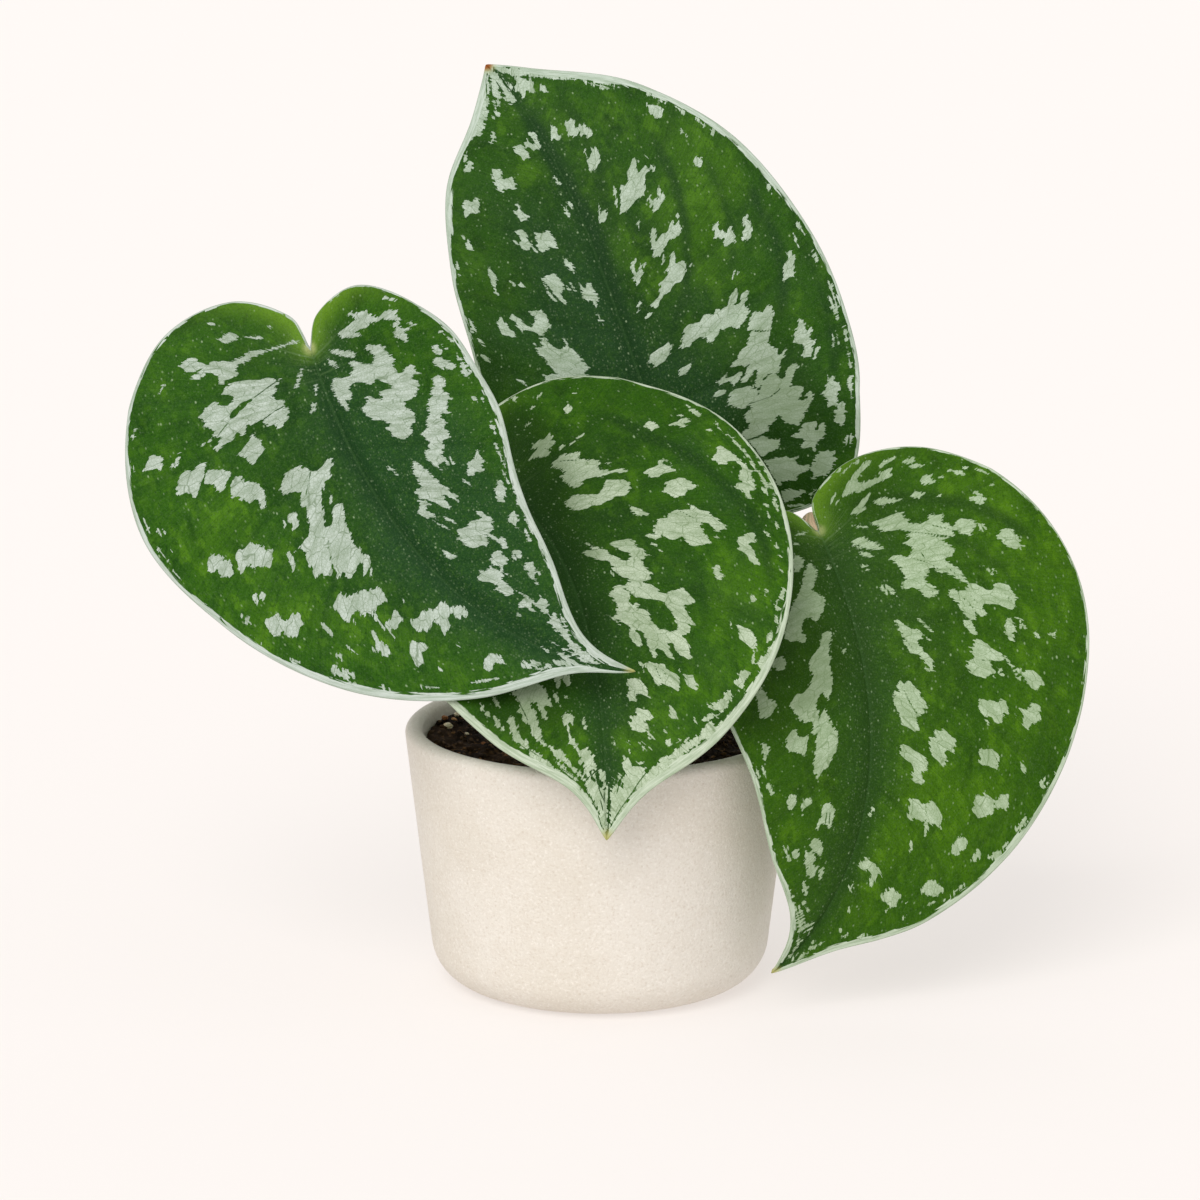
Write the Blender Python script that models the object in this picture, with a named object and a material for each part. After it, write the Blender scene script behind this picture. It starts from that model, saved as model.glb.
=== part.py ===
"""Potted satin pothos: a round tapering planter, potting mix, a vine with its root ball,
four leaf stalks and four heart-shaped blades.

Metres, +Z up. The origin is the centre of the pot's flat base, on the surface that it
stands on. The leaves face -Y.
"""

import math

import bmesh
import bpy
import numpy as np
from mathutils import Matrix, Vector

MM = 0.001
GAP = 0.3            # clearance between neighbouring pieces, mm

# ---------------------------------------------------------------- pot (mm)
POT_HEIGHT = 67.8
POT_RADIUS_AT_BASE = 42.6     # the wall's line carried down to the base plane
POT_FLARE = 0.118             # radius gained per mm of height
POT_FOOT_ROUND = 11.25        # large round between the base and the wall
POT_WALL = 4.6
POT_FLOOR = 6.0
POT_INNER_ROUND = 8.0
ROUND_STEPS = 64              # facets round the pot and the mix
ROOT_STEPS = 28               # facets round the root ball

# ---------------------------------------------------------------- potting mix (mm)
SOIL_EDGE_HEIGHT = 63.2       # where the mix meets the wall
SOIL_MOUND = 1.4              # how much it rises towards the stem
SOIL_LUMPS = 0.45

# ---------------------------------------------------------------- vine (mm)
STEM_FOOT = (2.0, 5.0)        # where the vine leaves the mix
STEM_BOTTOM = 46.4
STEM_NODES = (                # one leaf stalk leaves each node, left and right in turn
    (4.0, 7.5, 76.0),
    (-1.0, 11.0, 88.0),
    (3.5, 17.0, 100.0),
    (-6.0, 21.0, 112.0),
)
STEM_TIP = (-1.5, 23.5, 127.0)
STEM_RADIUS = 2.3
STEM_NODE_SWELL = 0.6
ROOT_CENTRE_HEIGHT = 34.0
ROOT_RADIUS = 14.0
ROOT_HALF_HEIGHT = 12.0

# ---------------------------------------------------------------- leaves
BLADE_THICKNESS = 0.8
STALK_RADIUS = 1.55
BLADE_ROWS = 26               # rows of faces from the notch to the tip
BLADE_COLUMNS = 6             # columns from the midrib to each margin

# The heart shape: half outline from the notch round the lobe to the tip, as shares of
# the blade's length, with the midrib along +Y. A leaf's near_side and far_side push the
# nine inner points outwards by that many percent of the length, because no two leaves
# of a vine have the same outline and each is a little lopsided.
HEART = (
    (0.0, 0.0), (0.040, -0.060), (0.135, -0.118), (0.270, -0.085), (0.375, 0.040),
    (0.410, 0.200), (0.385, 0.370), (0.300, 0.560), (0.180, 0.740), (0.070, 0.890),
    (0.0, 1.0),
)

# A blade is modelled flat with its joint at its own origin, its midrib along +Y and its
# upper face up, then bent, turned and moved to its joint. roll turns it in its own
# plane, pitch lifts its face and yaw swings it round the vertical. droop, sickle and
# twist bend the midrib back, sideways and about itself: degrees over the blade at the
# joint's rate, and degrees added by the tip. fold lifts each half from the midrib, curl
# bends it down again towards the margin, and lobe_droop bends the lobes behind the
# joint. Lengths in mm, angles in degrees.
LEAVES = {
    "leaf_left": dict(
        joint=(-72.0, -25.0, 170.5), length=122.0, roll=-68.0, pitch=14.5, yaw=-14.0,
        droop=(6.5, 2.5), sickle=(27.5, 79.5), twist=(2.5, 0.5),
        fold=(13.5, 14.0), curl=(-34.5, -23.0), lobe_droop=-0.20,
        near_side=(2.5, 2.5, 3.5, 4.0, 6.0, 2.5, 0.0, -2.5, -4.5),
        far_side=(0.0, -3.5, -7.0, -8.0, -8.5, -6.5, -4.5, -0.5, -2.0),
    ),
    "leaf_top": dict(
        joint=(20.5, 40.0, 125.0), length=123.5, roll=114.5, pitch=7.0, yaw=-0.5,
        droop=(22.5, 13.5), sickle=(-31.0, 97.0), twist=(3.5, 3.5),
        fold=(10.0, 12.0), curl=(-29.0, -27.0), lobe_droop=-0.25,
        near_side=(0.0, 4.5, 9.5, 6.0, 5.0, 6.5, 8.5, 7.0, 2.5),
        far_side=(1.0, 1.5, 1.5, -0.5, -5.5, -6.5, 0.5, 6.5, 3.5),
    ),
    "leaf_middle": dict(
        joint=(-28.0, 7.5, 130.0), length=114.5, roll=-41.0, pitch=64.5, yaw=-8.5,
        droop=(35.0, 15.0), sickle=(-74.0, 69.0), twist=(4.5, -5.0),
        fold=(5.5, 16.0), curl=(-30.5, -24.0), lobe_droop=0.10,
        near_side=(0.5, 0.5, 1.0, 1.5, 3.0, 5.5, 7.5, 7.0, 0.5),
        far_side=(2.0, 4.0, 4.0, 4.0, 9.0, 11.5, 12.0, 9.0, 2.0),
    ),
    "leaf_right": dict(
        joint=(56.0, 3.5, 117.5), length=125.0, roll=-75.0, pitch=46.0, yaw=9.5,
        droop=(52.0, 27.0), sickle=(-18.0, -72.0), twist=(-10.5, -10.5),
        fold=(19.5, 13.0), curl=(-39.0, -23.5), lobe_droop=-0.30,
        near_side=(-1.0, -4.5, 0.0, -0.5, 1.0, -2.5, -1.5, 1.5, -1.0),
        far_side=(2.5, 1.5, 2.0, 3.5, 7.5, 7.5, 6.0, 3.5, -0.5),
    ),
}

# Each stalk: the node it leaves, the points it passes, and how it meets its blade.
# along is how far under the blade it ends, towards the tip; lift_off is the gap that
# its end keeps to the midplane, and lie is 1 where it runs flat under the blade and
# 0 where it comes up from behind at a right angle.
STALKS = {
    "petiole_right": dict(
        node=0, leaf="leaf_right", along=2.0, lift_off=2.6, lie=1.0,
        via=((18.0, 13.0, 80.0), (36.0, 17.0, 93.0), (49.0, 18.5, 108.0), (54.0, 13.0, 118.5))),
    "petiole_middle": dict(
        node=1, leaf="leaf_middle", along=4.0, lift_off=0.85, lie=0.0,
        via=((-12.0, 12.5, 91.0), (-21.0, 13.5, 103.0), (-26.0, 12.0, 117.0))),
    "petiole_top": dict(
        node=2, leaf="leaf_top", along=2.5, lift_off=2.4, lie=1.0,
        via=((12.0, 24.0, 101.5), (20.0, 33.5, 105.0), (23.0, 39.5, 114.0))),
    "petiole_left": dict(
        node=3, leaf="leaf_left", along=5.0, lift_off=0.85, lie=0.0,
        via=((-19.0, 27.0, 117.0), (-38.0, 29.0, 133.0), (-57.0, 16.0, 153.0), (-68.0, -6.0, 166.0))),
}

# Loose bits on the mix: place, three radii and a turn about the vertical.
GRAINS = {
    "perlite_grain_1": dict(at=(-39.5, 7.0), radii=(1.4, 1.1, 0.9), turn=25.0),
    "perlite_grain_2": dict(at=(-37.5, 19.0), radii=(0.9, 0.7, 0.6), turn=70.0),
    "perlite_grain_3": dict(at=(-34.5, 2.5), radii=(0.65, 0.5, 0.4), turn=10.0),
    "bark_chip_1": dict(at=(-40.5, 13.0), radii=(1.1, 0.8, 0.6), turn=60.0),
    "bark_chip_2": dict(at=(-30.0, -5.0), radii=(0.7, 0.5, 0.4), turn=-35.0),
}

MATERIALS = {                 # colour, roughness
    "pot_ceramic": ((0.80, 0.74, 0.64), 0.60),
    "potting_mix": ((0.045, 0.028, 0.018), 0.95),
    "root_fibre": ((0.42, 0.33, 0.22), 0.90),
    "vine_green": ((0.20, 0.28, 0.09), 0.55),
    "stalk_green": ((0.38, 0.36, 0.18), 0.50),
    "blade_green": ((0.06, 0.17, 0.03), 0.42),
    "perlite": ((0.82, 0.74, 0.62), 0.90),
    "bark": ((0.28, 0.12, 0.05), 0.90),
}


# ---------------------------------------------------------------- curves
def smooth_curve(points, steps):
    """Points along a smooth curve through the given ones, ends included."""
    p = np.asarray(points, float)
    q = np.vstack([2 * p[0] - p[1], p, 2 * p[-1] - p[-2]])
    t = np.linspace(0.0, 1.0, steps, endpoint=False)[:, None]
    out = []
    for i in range(1, len(q) - 2):
        a, b, c, d = q[i - 1], q[i], q[i + 1], q[i + 2]
        out.append(0.5 * (2 * b + (c - a) * t + (2 * a - 5 * b + 4 * c - d) * t ** 2
                          + (3 * b - a - 3 * c + d) * t ** 3))
    return np.vstack([*out, p[-1:]])


def even_steps(curve, count):
    """count points at equal distances along a polyline."""
    run = np.concatenate([[0.0], np.cumsum(np.linalg.norm(np.diff(curve, axis=0), axis=1))])
    want = np.linspace(0.0, run[-1], count)
    return np.stack([np.interp(want, run, curve[:, k]) for k in range(curve.shape[1])], 1)


def arc(centre, radius, start, end, steps):
    a = np.radians(np.linspace(start, end, steps))
    return [(centre[0] + radius * math.cos(x), centre[1] + radius * math.sin(x)) for x in a]


# ---------------------------------------------------------------- objects
def material(name):
    colour, roughness = MATERIALS[name]
    made = bpy.data.materials.new(name)
    made.use_nodes = True
    shader = made.node_tree.nodes["Principled BSDF"]
    shader.inputs["Base Color"].default_value = (*colour, 1.0)
    shader.inputs["Roughness"].default_value = roughness
    shader.inputs["Metallic"].default_value = 0.0
    made.diffuse_color = (*colour, 1.0)
    return made


def place(name, data, surface, parent):
    obj = bpy.data.objects.new(name, data)
    obj.parent = parent
    if surface:
        data.materials.append(surface)
    bpy.context.scene.collection.objects.link(obj)
    return obj


def finish(name, shape, surface, parent):
    """Turns a bmesh into an object with smooth shading."""
    mesh = bpy.data.meshes.new(name)
    shape.to_mesh(mesh)
    shape.free()
    mesh.shade_smooth()
    mesh.set_sharp_from_angle(angle=math.radians(50))
    return place(name, mesh, surface, parent)


def turned(profile, centre=(0.0, 0.0), steps=ROUND_STEPS):
    """A solid of revolution from (radius, height) points that start and end on the axis."""
    shape = bmesh.new()
    points = [shape.verts.new((centre[0] * MM + r * MM, centre[1] * MM, z * MM)) for r, z in profile]
    edges = [shape.edges.new(pair) for pair in zip(points, points[1:])]
    bmesh.ops.spin(shape, geom=points + edges, cent=(centre[0] * MM, centre[1] * MM, 0.0), axis=(0, 0, 1),
                   angle=2 * math.pi, steps=steps, use_merge=True)
    bmesh.ops.remove_doubles(shape, verts=shape.verts, dist=1e-6)
    bmesh.ops.recalc_face_normals(shape, faces=shape.faces)
    return shape


def rod(name, path, radii, sides_level, surface, parent):
    """A closed curve-swept rod; each point has its own radius in mm."""
    curve = bpy.data.curves.new(name, "CURVE")
    curve.dimensions = "3D"
    curve.bevel_depth = MM
    curve.bevel_resolution = sides_level
    curve.use_fill_caps = True
    spline = curve.splines.new("POLY")
    spline.points.add(len(path) - 1)
    for point, place_mm, radius in zip(spline.points, path, radii):
        point.co = (*(place_mm * MM), 1.0)
        point.radius = radius
    spline.use_smooth = True
    return place(name, curve, surface, parent)


# ---------------------------------------------------------------- pot, mix and roots
SLOPE = math.atan(POT_FLARE)
LEAN = math.degrees(SLOPE)


def outer_radius(z):
    return POT_RADIUS_AT_BASE + POT_FLARE * z


def inner_radius(z, gap=0.0):
    """Radius that keeps the wall's thickness, and a gap more, square to the wall."""
    return outer_radius(z) - (POT_WALL + gap) / math.cos(SLOPE)


INNER_FOOT = (inner_radius(POT_FLOOR + POT_INNER_ROUND, POT_INNER_ROUND), POT_FLOOR + POT_INNER_ROUND)


def pot_profile():
    """From the base's centre up the outside, over the lip and down the inside."""
    foot = (inner_radius(POT_FOOT_ROUND, POT_FOOT_ROUND - POT_WALL), POT_FOOT_ROUND)
    lip = POT_WALL / 2
    lip_centre = (inner_radius(POT_HEIGHT - lip, -lip), POT_HEIGHT - lip)
    return ([(0.0, 0.0)] + arc(foot, POT_FOOT_ROUND, -90, -LEAN, 7)
            + arc(lip_centre, lip, -LEAN, 180 - LEAN, 8)
            + arc(INNER_FOOT, POT_INNER_ROUND, -LEAN, -90, 5) + [(0.0, POT_FLOOR)])


def soil_height(x, y):
    """The mix's surface: a low mound at the stem, and small lumps."""
    away = np.hypot(x - STEM_FOOT[0], y - STEM_FOOT[1])
    lumps = (np.sin(0.62 * x + 0.31 * y + 0.4) * np.cos(0.45 * y - 0.22 * x + 1.1)
             + 0.5 * np.sin(1.15 * x - 0.7 * y + 2.0))
    return SOIL_EDGE_HEIGHT + SOIL_MOUND * np.exp(-(away / 22.0) ** 2) + SOIL_LUMPS * lumps


def soil_shape():
    edge = inner_radius(SOIL_EDGE_HEIGHT, GAP)
    shape = turned([(0.0, POT_FLOOR + GAP)] + arc(INNER_FOOT, POT_INNER_ROUND - GAP, -90, -LEAN, 4)
                   + [(edge * share, SOIL_EDGE_HEIGHT) for share in (1.0, 0.94, 0.8, 0.65, 0.5, 0.35, 0.2, 0.0)])
    for point in shape.verts:
        x, y, z = point.co / MM
        if z > SOIL_EDGE_HEIGHT - 1:
            at_wall = math.hypot(x, y) > edge - 0.5
            point.co.z = (SOIL_EDGE_HEIGHT - 0.6 if at_wall else float(soil_height(x, y))) * MM
    return shape


def root_profile(gap, neck):
    """The root ball, and a neck of radius neck up past the mix's surface if there is one."""
    rounds = arc((0.0, 0.0), 1.0, -90, 90, 13)
    body = [((ROOT_RADIUS + gap) * max(r, 0.0), ROOT_CENTRE_HEIGHT + (ROOT_HALF_HEIGHT + gap) * z)
            for r, z in rounds]
    body[0], body[-1] = (0.0, body[0][1]), (0.0, body[-1][1])
    if not neck:
        return body
    top = ROOT_CENTRE_HEIGHT + (ROOT_HALF_HEIGHT + gap) * math.sqrt(1 - (neck / (ROOT_RADIUS + gap)) ** 2)
    return [p for p in body[:-1] if p[0] > neck or p[1] < ROOT_CENTRE_HEIGHT] \
        + [(neck, top), (neck, SOIL_EDGE_HEIGHT + 6), (0.0, SOIL_EDGE_HEIGHT + 6)]


# ---------------------------------------------------------------- blades
def blade_turn(leaf):
    roll, pitch, yaw = (math.radians(leaf[k]) for k in ("roll", "pitch", "yaw"))
    quarter = math.pi / 2
    return (Matrix.Rotation(yaw, 3, "Z") @ Matrix.Rotation(quarter - pitch, 3, "X")
            @ Matrix.Rotation(roll - quarter, 3, "Z"))


def midrib(leaf, steps=48):
    """The bent midrib's points and frames (across, along, up) from the joint to the tip."""
    frame, point = Matrix.Identity(3), Vector((0, 0, 0))
    points, frames = [point], [frame]
    for i in range(steps):
        droop, sickle, twist = (math.radians(a + b * (i + 0.5) / steps) / steps
                                for a, b in (leaf["droop"], leaf["sickle"], leaf["twist"]))
        spin = frame @ Vector((-droop, twist, sickle))
        half = Matrix.Rotation(spin.length / 2, 3, spin)
        point = point + (half @ frame).col[1] * (leaf["length"] / steps)
        frame = half @ half @ frame
        points.append(point)
        frames.append(frame)
    return np.array(points), np.array([[list(row) for row in f] for f in frames])


def bend_blade(leaf, flat):
    """Flat blade points (shares of the length) to places on the bent blade, in mm."""
    points, frames = midrib(leaf)
    length, last = leaf["length"], len(points) - 1
    across, run = flat[:, 0] * length, flat[:, 1]
    on = np.clip(run, 0.0, 1.0)
    i = np.minimum((on * last).astype(int), last - 1)
    w = (on * last - i)[:, None]
    base = points[i] * (1 - w) + points[i + 1] * w
    frame = frames[i] * (1 - w[..., None]) + frames[i + 1] * w[..., None]
    back = np.minimum(run, 0.0) * length
    side = np.where(across > 0, 0, 1)
    lift = np.radians(np.array(leaf["fold"])[side]) * (1 - 0.35 * on)
    bend = np.radians(np.array(leaf["curl"])[side]) / length
    reach = np.abs(across)
    chord = reach * np.sinc(bend * reach / 2 / math.pi)
    angle = lift + bend * reach / 2
    up = chord * np.sin(angle) + leaf["lobe_droop"] * back ** 2 / length
    return (base + frame[:, :, 1] * back[:, None]
            + frame[:, :, 0] * (np.sign(across) * chord * np.cos(angle))[:, None]
            + frame[:, :, 2] * up[:, None])


def half_outline(leaf, side, count):
    """One half of the flat outline, notch to tip, in even steps."""
    heart = np.array(HEART)
    pushed = heart.copy()
    for k, percent in enumerate(leaf[side], start=1):
        t = heart[k + 1] - heart[k - 1]
        t /= np.linalg.norm(t)
        pushed[k] += np.array([t[1], -t[0]]) * percent / 100
    if side == "far_side":
        pushed[:, 0] *= -1
    return even_steps(smooth_curve(pushed, 12), count)


def blade_shape(leaf):
    """The blade's middle surface. Its rows follow the side veins: each leaves the
    midrib, leans towards the tip and ends on the margin."""
    near = half_outline(leaf, "near_side", BLADE_ROWS + 1)
    far = half_outline(leaf, "far_side", BLADE_ROWS + 1)
    flat = []
    for i in range(1, BLADE_ROWS):
        t = i / BLADE_ROWS
        root = np.array([0.0, 0.12 * t + 0.88 * t ** 2.8])
        for edge, order in ((far, range(BLADE_COLUMNS, 0, -1)), (near, range(BLADE_COLUMNS + 1))):
            end = edge[i]
            knee = np.array([0.55 * end[0], root[1] + 0.30 * (end[1] - root[1])])
            for j in order:
                s = j / BLADE_COLUMNS
                flat.append(root * (1 - s) ** 2 + knee * 2 * s * (1 - s) + end * s * s)
    flat = np.array([(0.0, 0.0), *flat, (0.0, 1.0)])
    shape = bmesh.new()
    verts = [shape.verts.new(p) for p in bend_blade(leaf, flat) * MM]
    wide = 2 * BLADE_COLUMNS + 1
    rows = [verts[1 + i * wide:1 + (i + 1) * wide] for i in range(BLADE_ROWS - 1)]
    for j in range(wide - 1):
        shape.faces.new((verts[0], rows[0][j + 1], rows[0][j]))
        shape.faces.new((rows[-1][j], rows[-1][j + 1], verts[-1]))
    for low, high in zip(rows, rows[1:]):
        for j in range(wide - 1):
            shape.faces.new((low[j], low[j + 1], high[j + 1], high[j]))
    return shape


def add_blade(name, leaf, surface, parent):
    obj = finish(name, blade_shape(leaf), surface, parent)
    obj.location = Vector(leaf["joint"]) * MM
    obj.rotation_euler = blade_turn(leaf).to_euler()
    skin = obj.modifiers.new("thickness", "SOLIDIFY")
    skin.thickness = BLADE_THICKNESS * MM
    skin.offset = 0.0


# ---------------------------------------------------------------- vine and stalks
def add_stem(surface, parent):
    foot = [(*STEM_FOOT, STEM_BOTTOM), (*STEM_FOOT, 58.0), (*STEM_FOOT, 67.0)]
    path = even_steps(smooth_curve(foot + list(STEM_NODES) + [STEM_TIP], 14), 36)
    share = np.linspace(0.0, 1.0, len(path))
    radius = STEM_RADIUS * (1 - 0.28 * share)
    for node in STEM_NODES:
        radius += STEM_NODE_SWELL * np.exp(-(np.linalg.norm(path - np.array(node), axis=1) / 2.2) ** 2)
    # The last stretch closes to the pointed sheath of the next leaf.
    radius *= np.sqrt(np.clip((1.04 - share) / 0.12, 0.0, 1.0))
    rod("stem", path, radius, 4, surface, parent)


def add_stalk(name, stalk, surface, parent):
    leaf = LEAVES[stalk["leaf"]]
    turn = np.array([list(row) for row in blade_turn(leaf)])
    along, face = turn[:, 1], turn[:, 2]
    meet = np.array(leaf["joint"]) + along * stalk["along"] - face * stalk["lift_off"]
    away = -along * stalk["lie"] - face * (1 - stalk["lie"])
    node = np.array(STEM_NODES[stalk["node"]])
    out = (np.array(stalk["via"][0]) - node) * (1, 1, 0)
    out /= np.linalg.norm(out)
    start = node + out * (STEM_RADIUS + STEM_NODE_SWELL + GAP + 0.15)
    points = [start, start + out * 3.0 + (0, 0, 1.0), *stalk["via"], meet + away * 5.0, meet]
    path = even_steps(smooth_curve(points, 10), 22)
    share = np.linspace(0.0, 1.0, len(path))
    # A broad sheath at the vine, a slim shaft, and a slightly thicker joint at the blade.
    radius = STALK_RADIUS * (1 + 0.35 * np.exp(-(share / 0.25) ** 2)
                             + 0.12 * np.exp(-((share - 0.93) / 0.06) ** 2))
    rod(name, path, radius, 3, surface, parent)


def add_grain(name, grain, surface, parent):
    """A small knobbly lump that lies on the mix."""
    shape = bmesh.new()
    bmesh.ops.create_icosphere(shape, subdivisions=2, radius=1.0)
    for point in shape.verts:
        x, y, z = point.co
        point.co *= 1 + 0.10 * math.sin(4 * x + grain["turn"]) * math.cos(3 * y + 2 * z)
    bmesh.ops.scale(shape, vec=Vector(grain["radii"]) * MM, verts=shape.verts)
    bmesh.ops.rotate(shape, matrix=Matrix.Rotation(math.radians(grain["turn"]), 3, "Z"), verts=shape.verts)
    x, y = grain["at"]
    reach = np.linspace(-1, 1, 5) * max(grain["radii"])
    ground = max(float(soil_height(x + i, y + j)) for i in reach for j in reach)
    lowest = min(point.co.z for point in shape.verts)
    obj = finish(name, shape, surface, parent)
    obj.location = (x * MM, y * MM, (ground + GAP) * MM - lowest)


def main():
    for obj in list(bpy.data.objects):
        bpy.data.objects.remove(obj, do_unlink=True)
    looks = {name: material(name) for name in MATERIALS}
    plant = bpy.data.objects.new("potted_plant", None)
    bpy.context.scene.collection.objects.link(plant)

    finish("pot", turned(pot_profile()), looks["pot_ceramic"], plant)

    soil = finish("soil", soil_shape(), looks["potting_mix"], plant)
    room = finish("root_room", turned(root_profile(GAP, STEM_RADIUS + GAP + 0.1), STEM_FOOT, ROOT_STEPS),
                  None, plant)
    room.hide_render = True
    room.display_type = "WIRE"
    cut = soil.modifiers.new("root_room", "BOOLEAN")
    cut.operation = "DIFFERENCE"
    cut.solver = "EXACT"
    cut.object = room

    finish("root_ball", turned(root_profile(0.0, 0.0), STEM_FOOT, ROOT_STEPS), looks["root_fibre"], plant)
    add_stem(looks["vine_green"], plant)
    for name, stalk in STALKS.items():
        add_stalk(name, stalk, looks["stalk_green"], plant)
    for name, leaf in LEAVES.items():
        add_blade(name, leaf, looks["blade_green"], plant)
    for name, grain in GRAINS.items():
        add_grain(name, grain, looks["perlite" if name.startswith("perlite") else "bark"], plant)


main()
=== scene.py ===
"""Looks of the potted satin pothos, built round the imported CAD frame. Metres, +Z up."""

import math

import bmesh
import bpy
import numpy as np
from mathutils import Matrix, Vector


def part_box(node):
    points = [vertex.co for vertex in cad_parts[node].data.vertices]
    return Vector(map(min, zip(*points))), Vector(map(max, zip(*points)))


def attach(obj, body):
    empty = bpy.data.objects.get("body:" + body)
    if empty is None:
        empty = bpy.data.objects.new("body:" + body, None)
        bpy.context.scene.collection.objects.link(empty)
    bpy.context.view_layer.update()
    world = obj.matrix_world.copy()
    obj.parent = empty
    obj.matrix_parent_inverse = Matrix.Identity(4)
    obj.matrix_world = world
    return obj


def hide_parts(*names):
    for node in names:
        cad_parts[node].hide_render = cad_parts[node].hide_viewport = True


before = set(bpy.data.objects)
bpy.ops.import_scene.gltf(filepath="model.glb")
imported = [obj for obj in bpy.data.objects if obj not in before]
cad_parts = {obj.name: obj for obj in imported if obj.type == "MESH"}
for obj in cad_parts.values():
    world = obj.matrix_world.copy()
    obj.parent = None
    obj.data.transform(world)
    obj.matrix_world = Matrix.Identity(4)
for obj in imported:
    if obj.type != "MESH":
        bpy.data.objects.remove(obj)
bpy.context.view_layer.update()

MM = 0.001

# ================================================================ sizes, as in the CAD (mm)
GAP = 0.3
POT_HEIGHT = 67.8
POT_RADIUS_AT_BASE = 42.6
POT_FLARE = 0.118
POT_FOOT_ROUND = 11.25
POT_WALL = 4.6
POT_FLOOR = 6.0
POT_INNER_ROUND = 8.0
SOIL_EDGE_HEIGHT = 63.2
SOIL_MOUND = 1.4
SOIL_LUMPS = 0.45
STEM_FOOT = (2.0, 5.0)
STEM_BOTTOM = 46.4
STEM_NODES = ((4.0, 7.5, 76.0), (-1.0, 11.0, 88.0), (3.5, 17.0, 100.0), (-6.0, 21.0, 112.0))
STEM_TIP = (-1.5, 23.5, 127.0)
STEM_RADIUS = 2.3
STEM_NODE_SWELL = 0.6
STALK_RADIUS = 1.55

HEART = (
    (0.0, 0.0), (0.040, -0.060), (0.135, -0.118), (0.270, -0.085), (0.375, 0.040),
    (0.410, 0.200), (0.385, 0.370), (0.300, 0.560), (0.180, 0.740), (0.070, 0.890),
    (0.0, 1.0),
)
LEAVES = {
    "leaf_left": dict(
        joint=(-72.0, -25.0, 170.5), length=122.0, roll=-68.0, pitch=14.5, yaw=-14.0,
        droop=(6.5, 2.5), sickle=(27.5, 79.5), twist=(2.5, 0.5),
        fold=(13.5, 14.0), curl=(-34.5, -23.0), lobe_droop=-0.20,
        near_side=(2.5, 2.5, 3.5, 4.0, 6.0, 2.5, 0.0, -2.5, -4.5),
        far_side=(0.0, -3.5, -7.0, -8.0, -8.5, -6.5, -4.5, -0.5, -2.0),
    ),
    "leaf_top": dict(
        joint=(20.5, 40.0, 125.0), length=123.5, roll=114.5, pitch=7.0, yaw=-0.5,
        droop=(22.5, 13.5), sickle=(-31.0, 97.0), twist=(3.5, 3.5),
        fold=(10.0, 12.0), curl=(-29.0, -27.0), lobe_droop=-0.25,
        near_side=(0.0, 4.5, 9.5, 6.0, 5.0, 6.5, 8.5, 7.0, 2.5),
        far_side=(1.0, 1.5, 1.5, -0.5, -5.5, -6.5, 0.5, 6.5, 3.5),
    ),
    "leaf_middle": dict(
        joint=(-28.0, 7.5, 130.0), length=114.5, roll=-41.0, pitch=64.5, yaw=-8.5,
        droop=(35.0, 15.0), sickle=(-74.0, 69.0), twist=(4.5, -5.0),
        fold=(5.5, 16.0), curl=(-30.5, -24.0), lobe_droop=0.10,
        near_side=(0.5, 0.5, 1.0, 1.5, 3.0, 5.5, 7.5, 7.0, 0.5),
        far_side=(2.0, 4.0, 4.0, 4.0, 9.0, 11.5, 12.0, 9.0, 2.0),
    ),
    "leaf_right": dict(
        joint=(56.0, 3.5, 117.5), length=125.0, roll=-75.0, pitch=46.0, yaw=9.5,
        droop=(52.0, 27.0), sickle=(-18.0, -72.0), twist=(-10.5, -10.5),
        fold=(19.5, 13.0), curl=(-39.0, -23.5), lobe_droop=-0.30,
        near_side=(-1.0, -4.5, 0.0, -0.5, 1.0, -2.5, -1.5, 1.5, -1.0),
        far_side=(2.5, 1.5, 2.0, 3.5, 7.5, 7.5, 6.0, 3.5, -0.5),
    ),
}
STALKS = {
    "petiole_right": dict(
        node=0, leaf="leaf_right", along=2.0, lift_off=2.6, lie=1.0,
        via=((18.0, 13.0, 80.0), (36.0, 17.0, 93.0), (49.0, 18.5, 108.0), (54.0, 13.0, 118.5))),
    "petiole_middle": dict(
        node=1, leaf="leaf_middle", along=4.0, lift_off=0.85, lie=0.0,
        via=((-12.0, 12.5, 91.0), (-21.0, 13.5, 103.0), (-26.0, 12.0, 117.0))),
    "petiole_top": dict(
        node=2, leaf="leaf_top", along=2.5, lift_off=2.4, lie=1.0,
        via=((12.0, 24.0, 101.5), (20.0, 33.5, 105.0), (23.0, 39.5, 114.0))),
    "petiole_left": dict(
        node=3, leaf="leaf_left", along=5.0, lift_off=0.85, lie=0.0,
        via=((-19.0, 27.0, 117.0), (-38.0, 29.0, 133.0), (-57.0, 16.0, 153.0), (-68.0, -6.0, 166.0))),
}

BLADE_ROWS = 340
BLADE_COLUMNS = 100
UNDER_COLUMNS = 20

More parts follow.
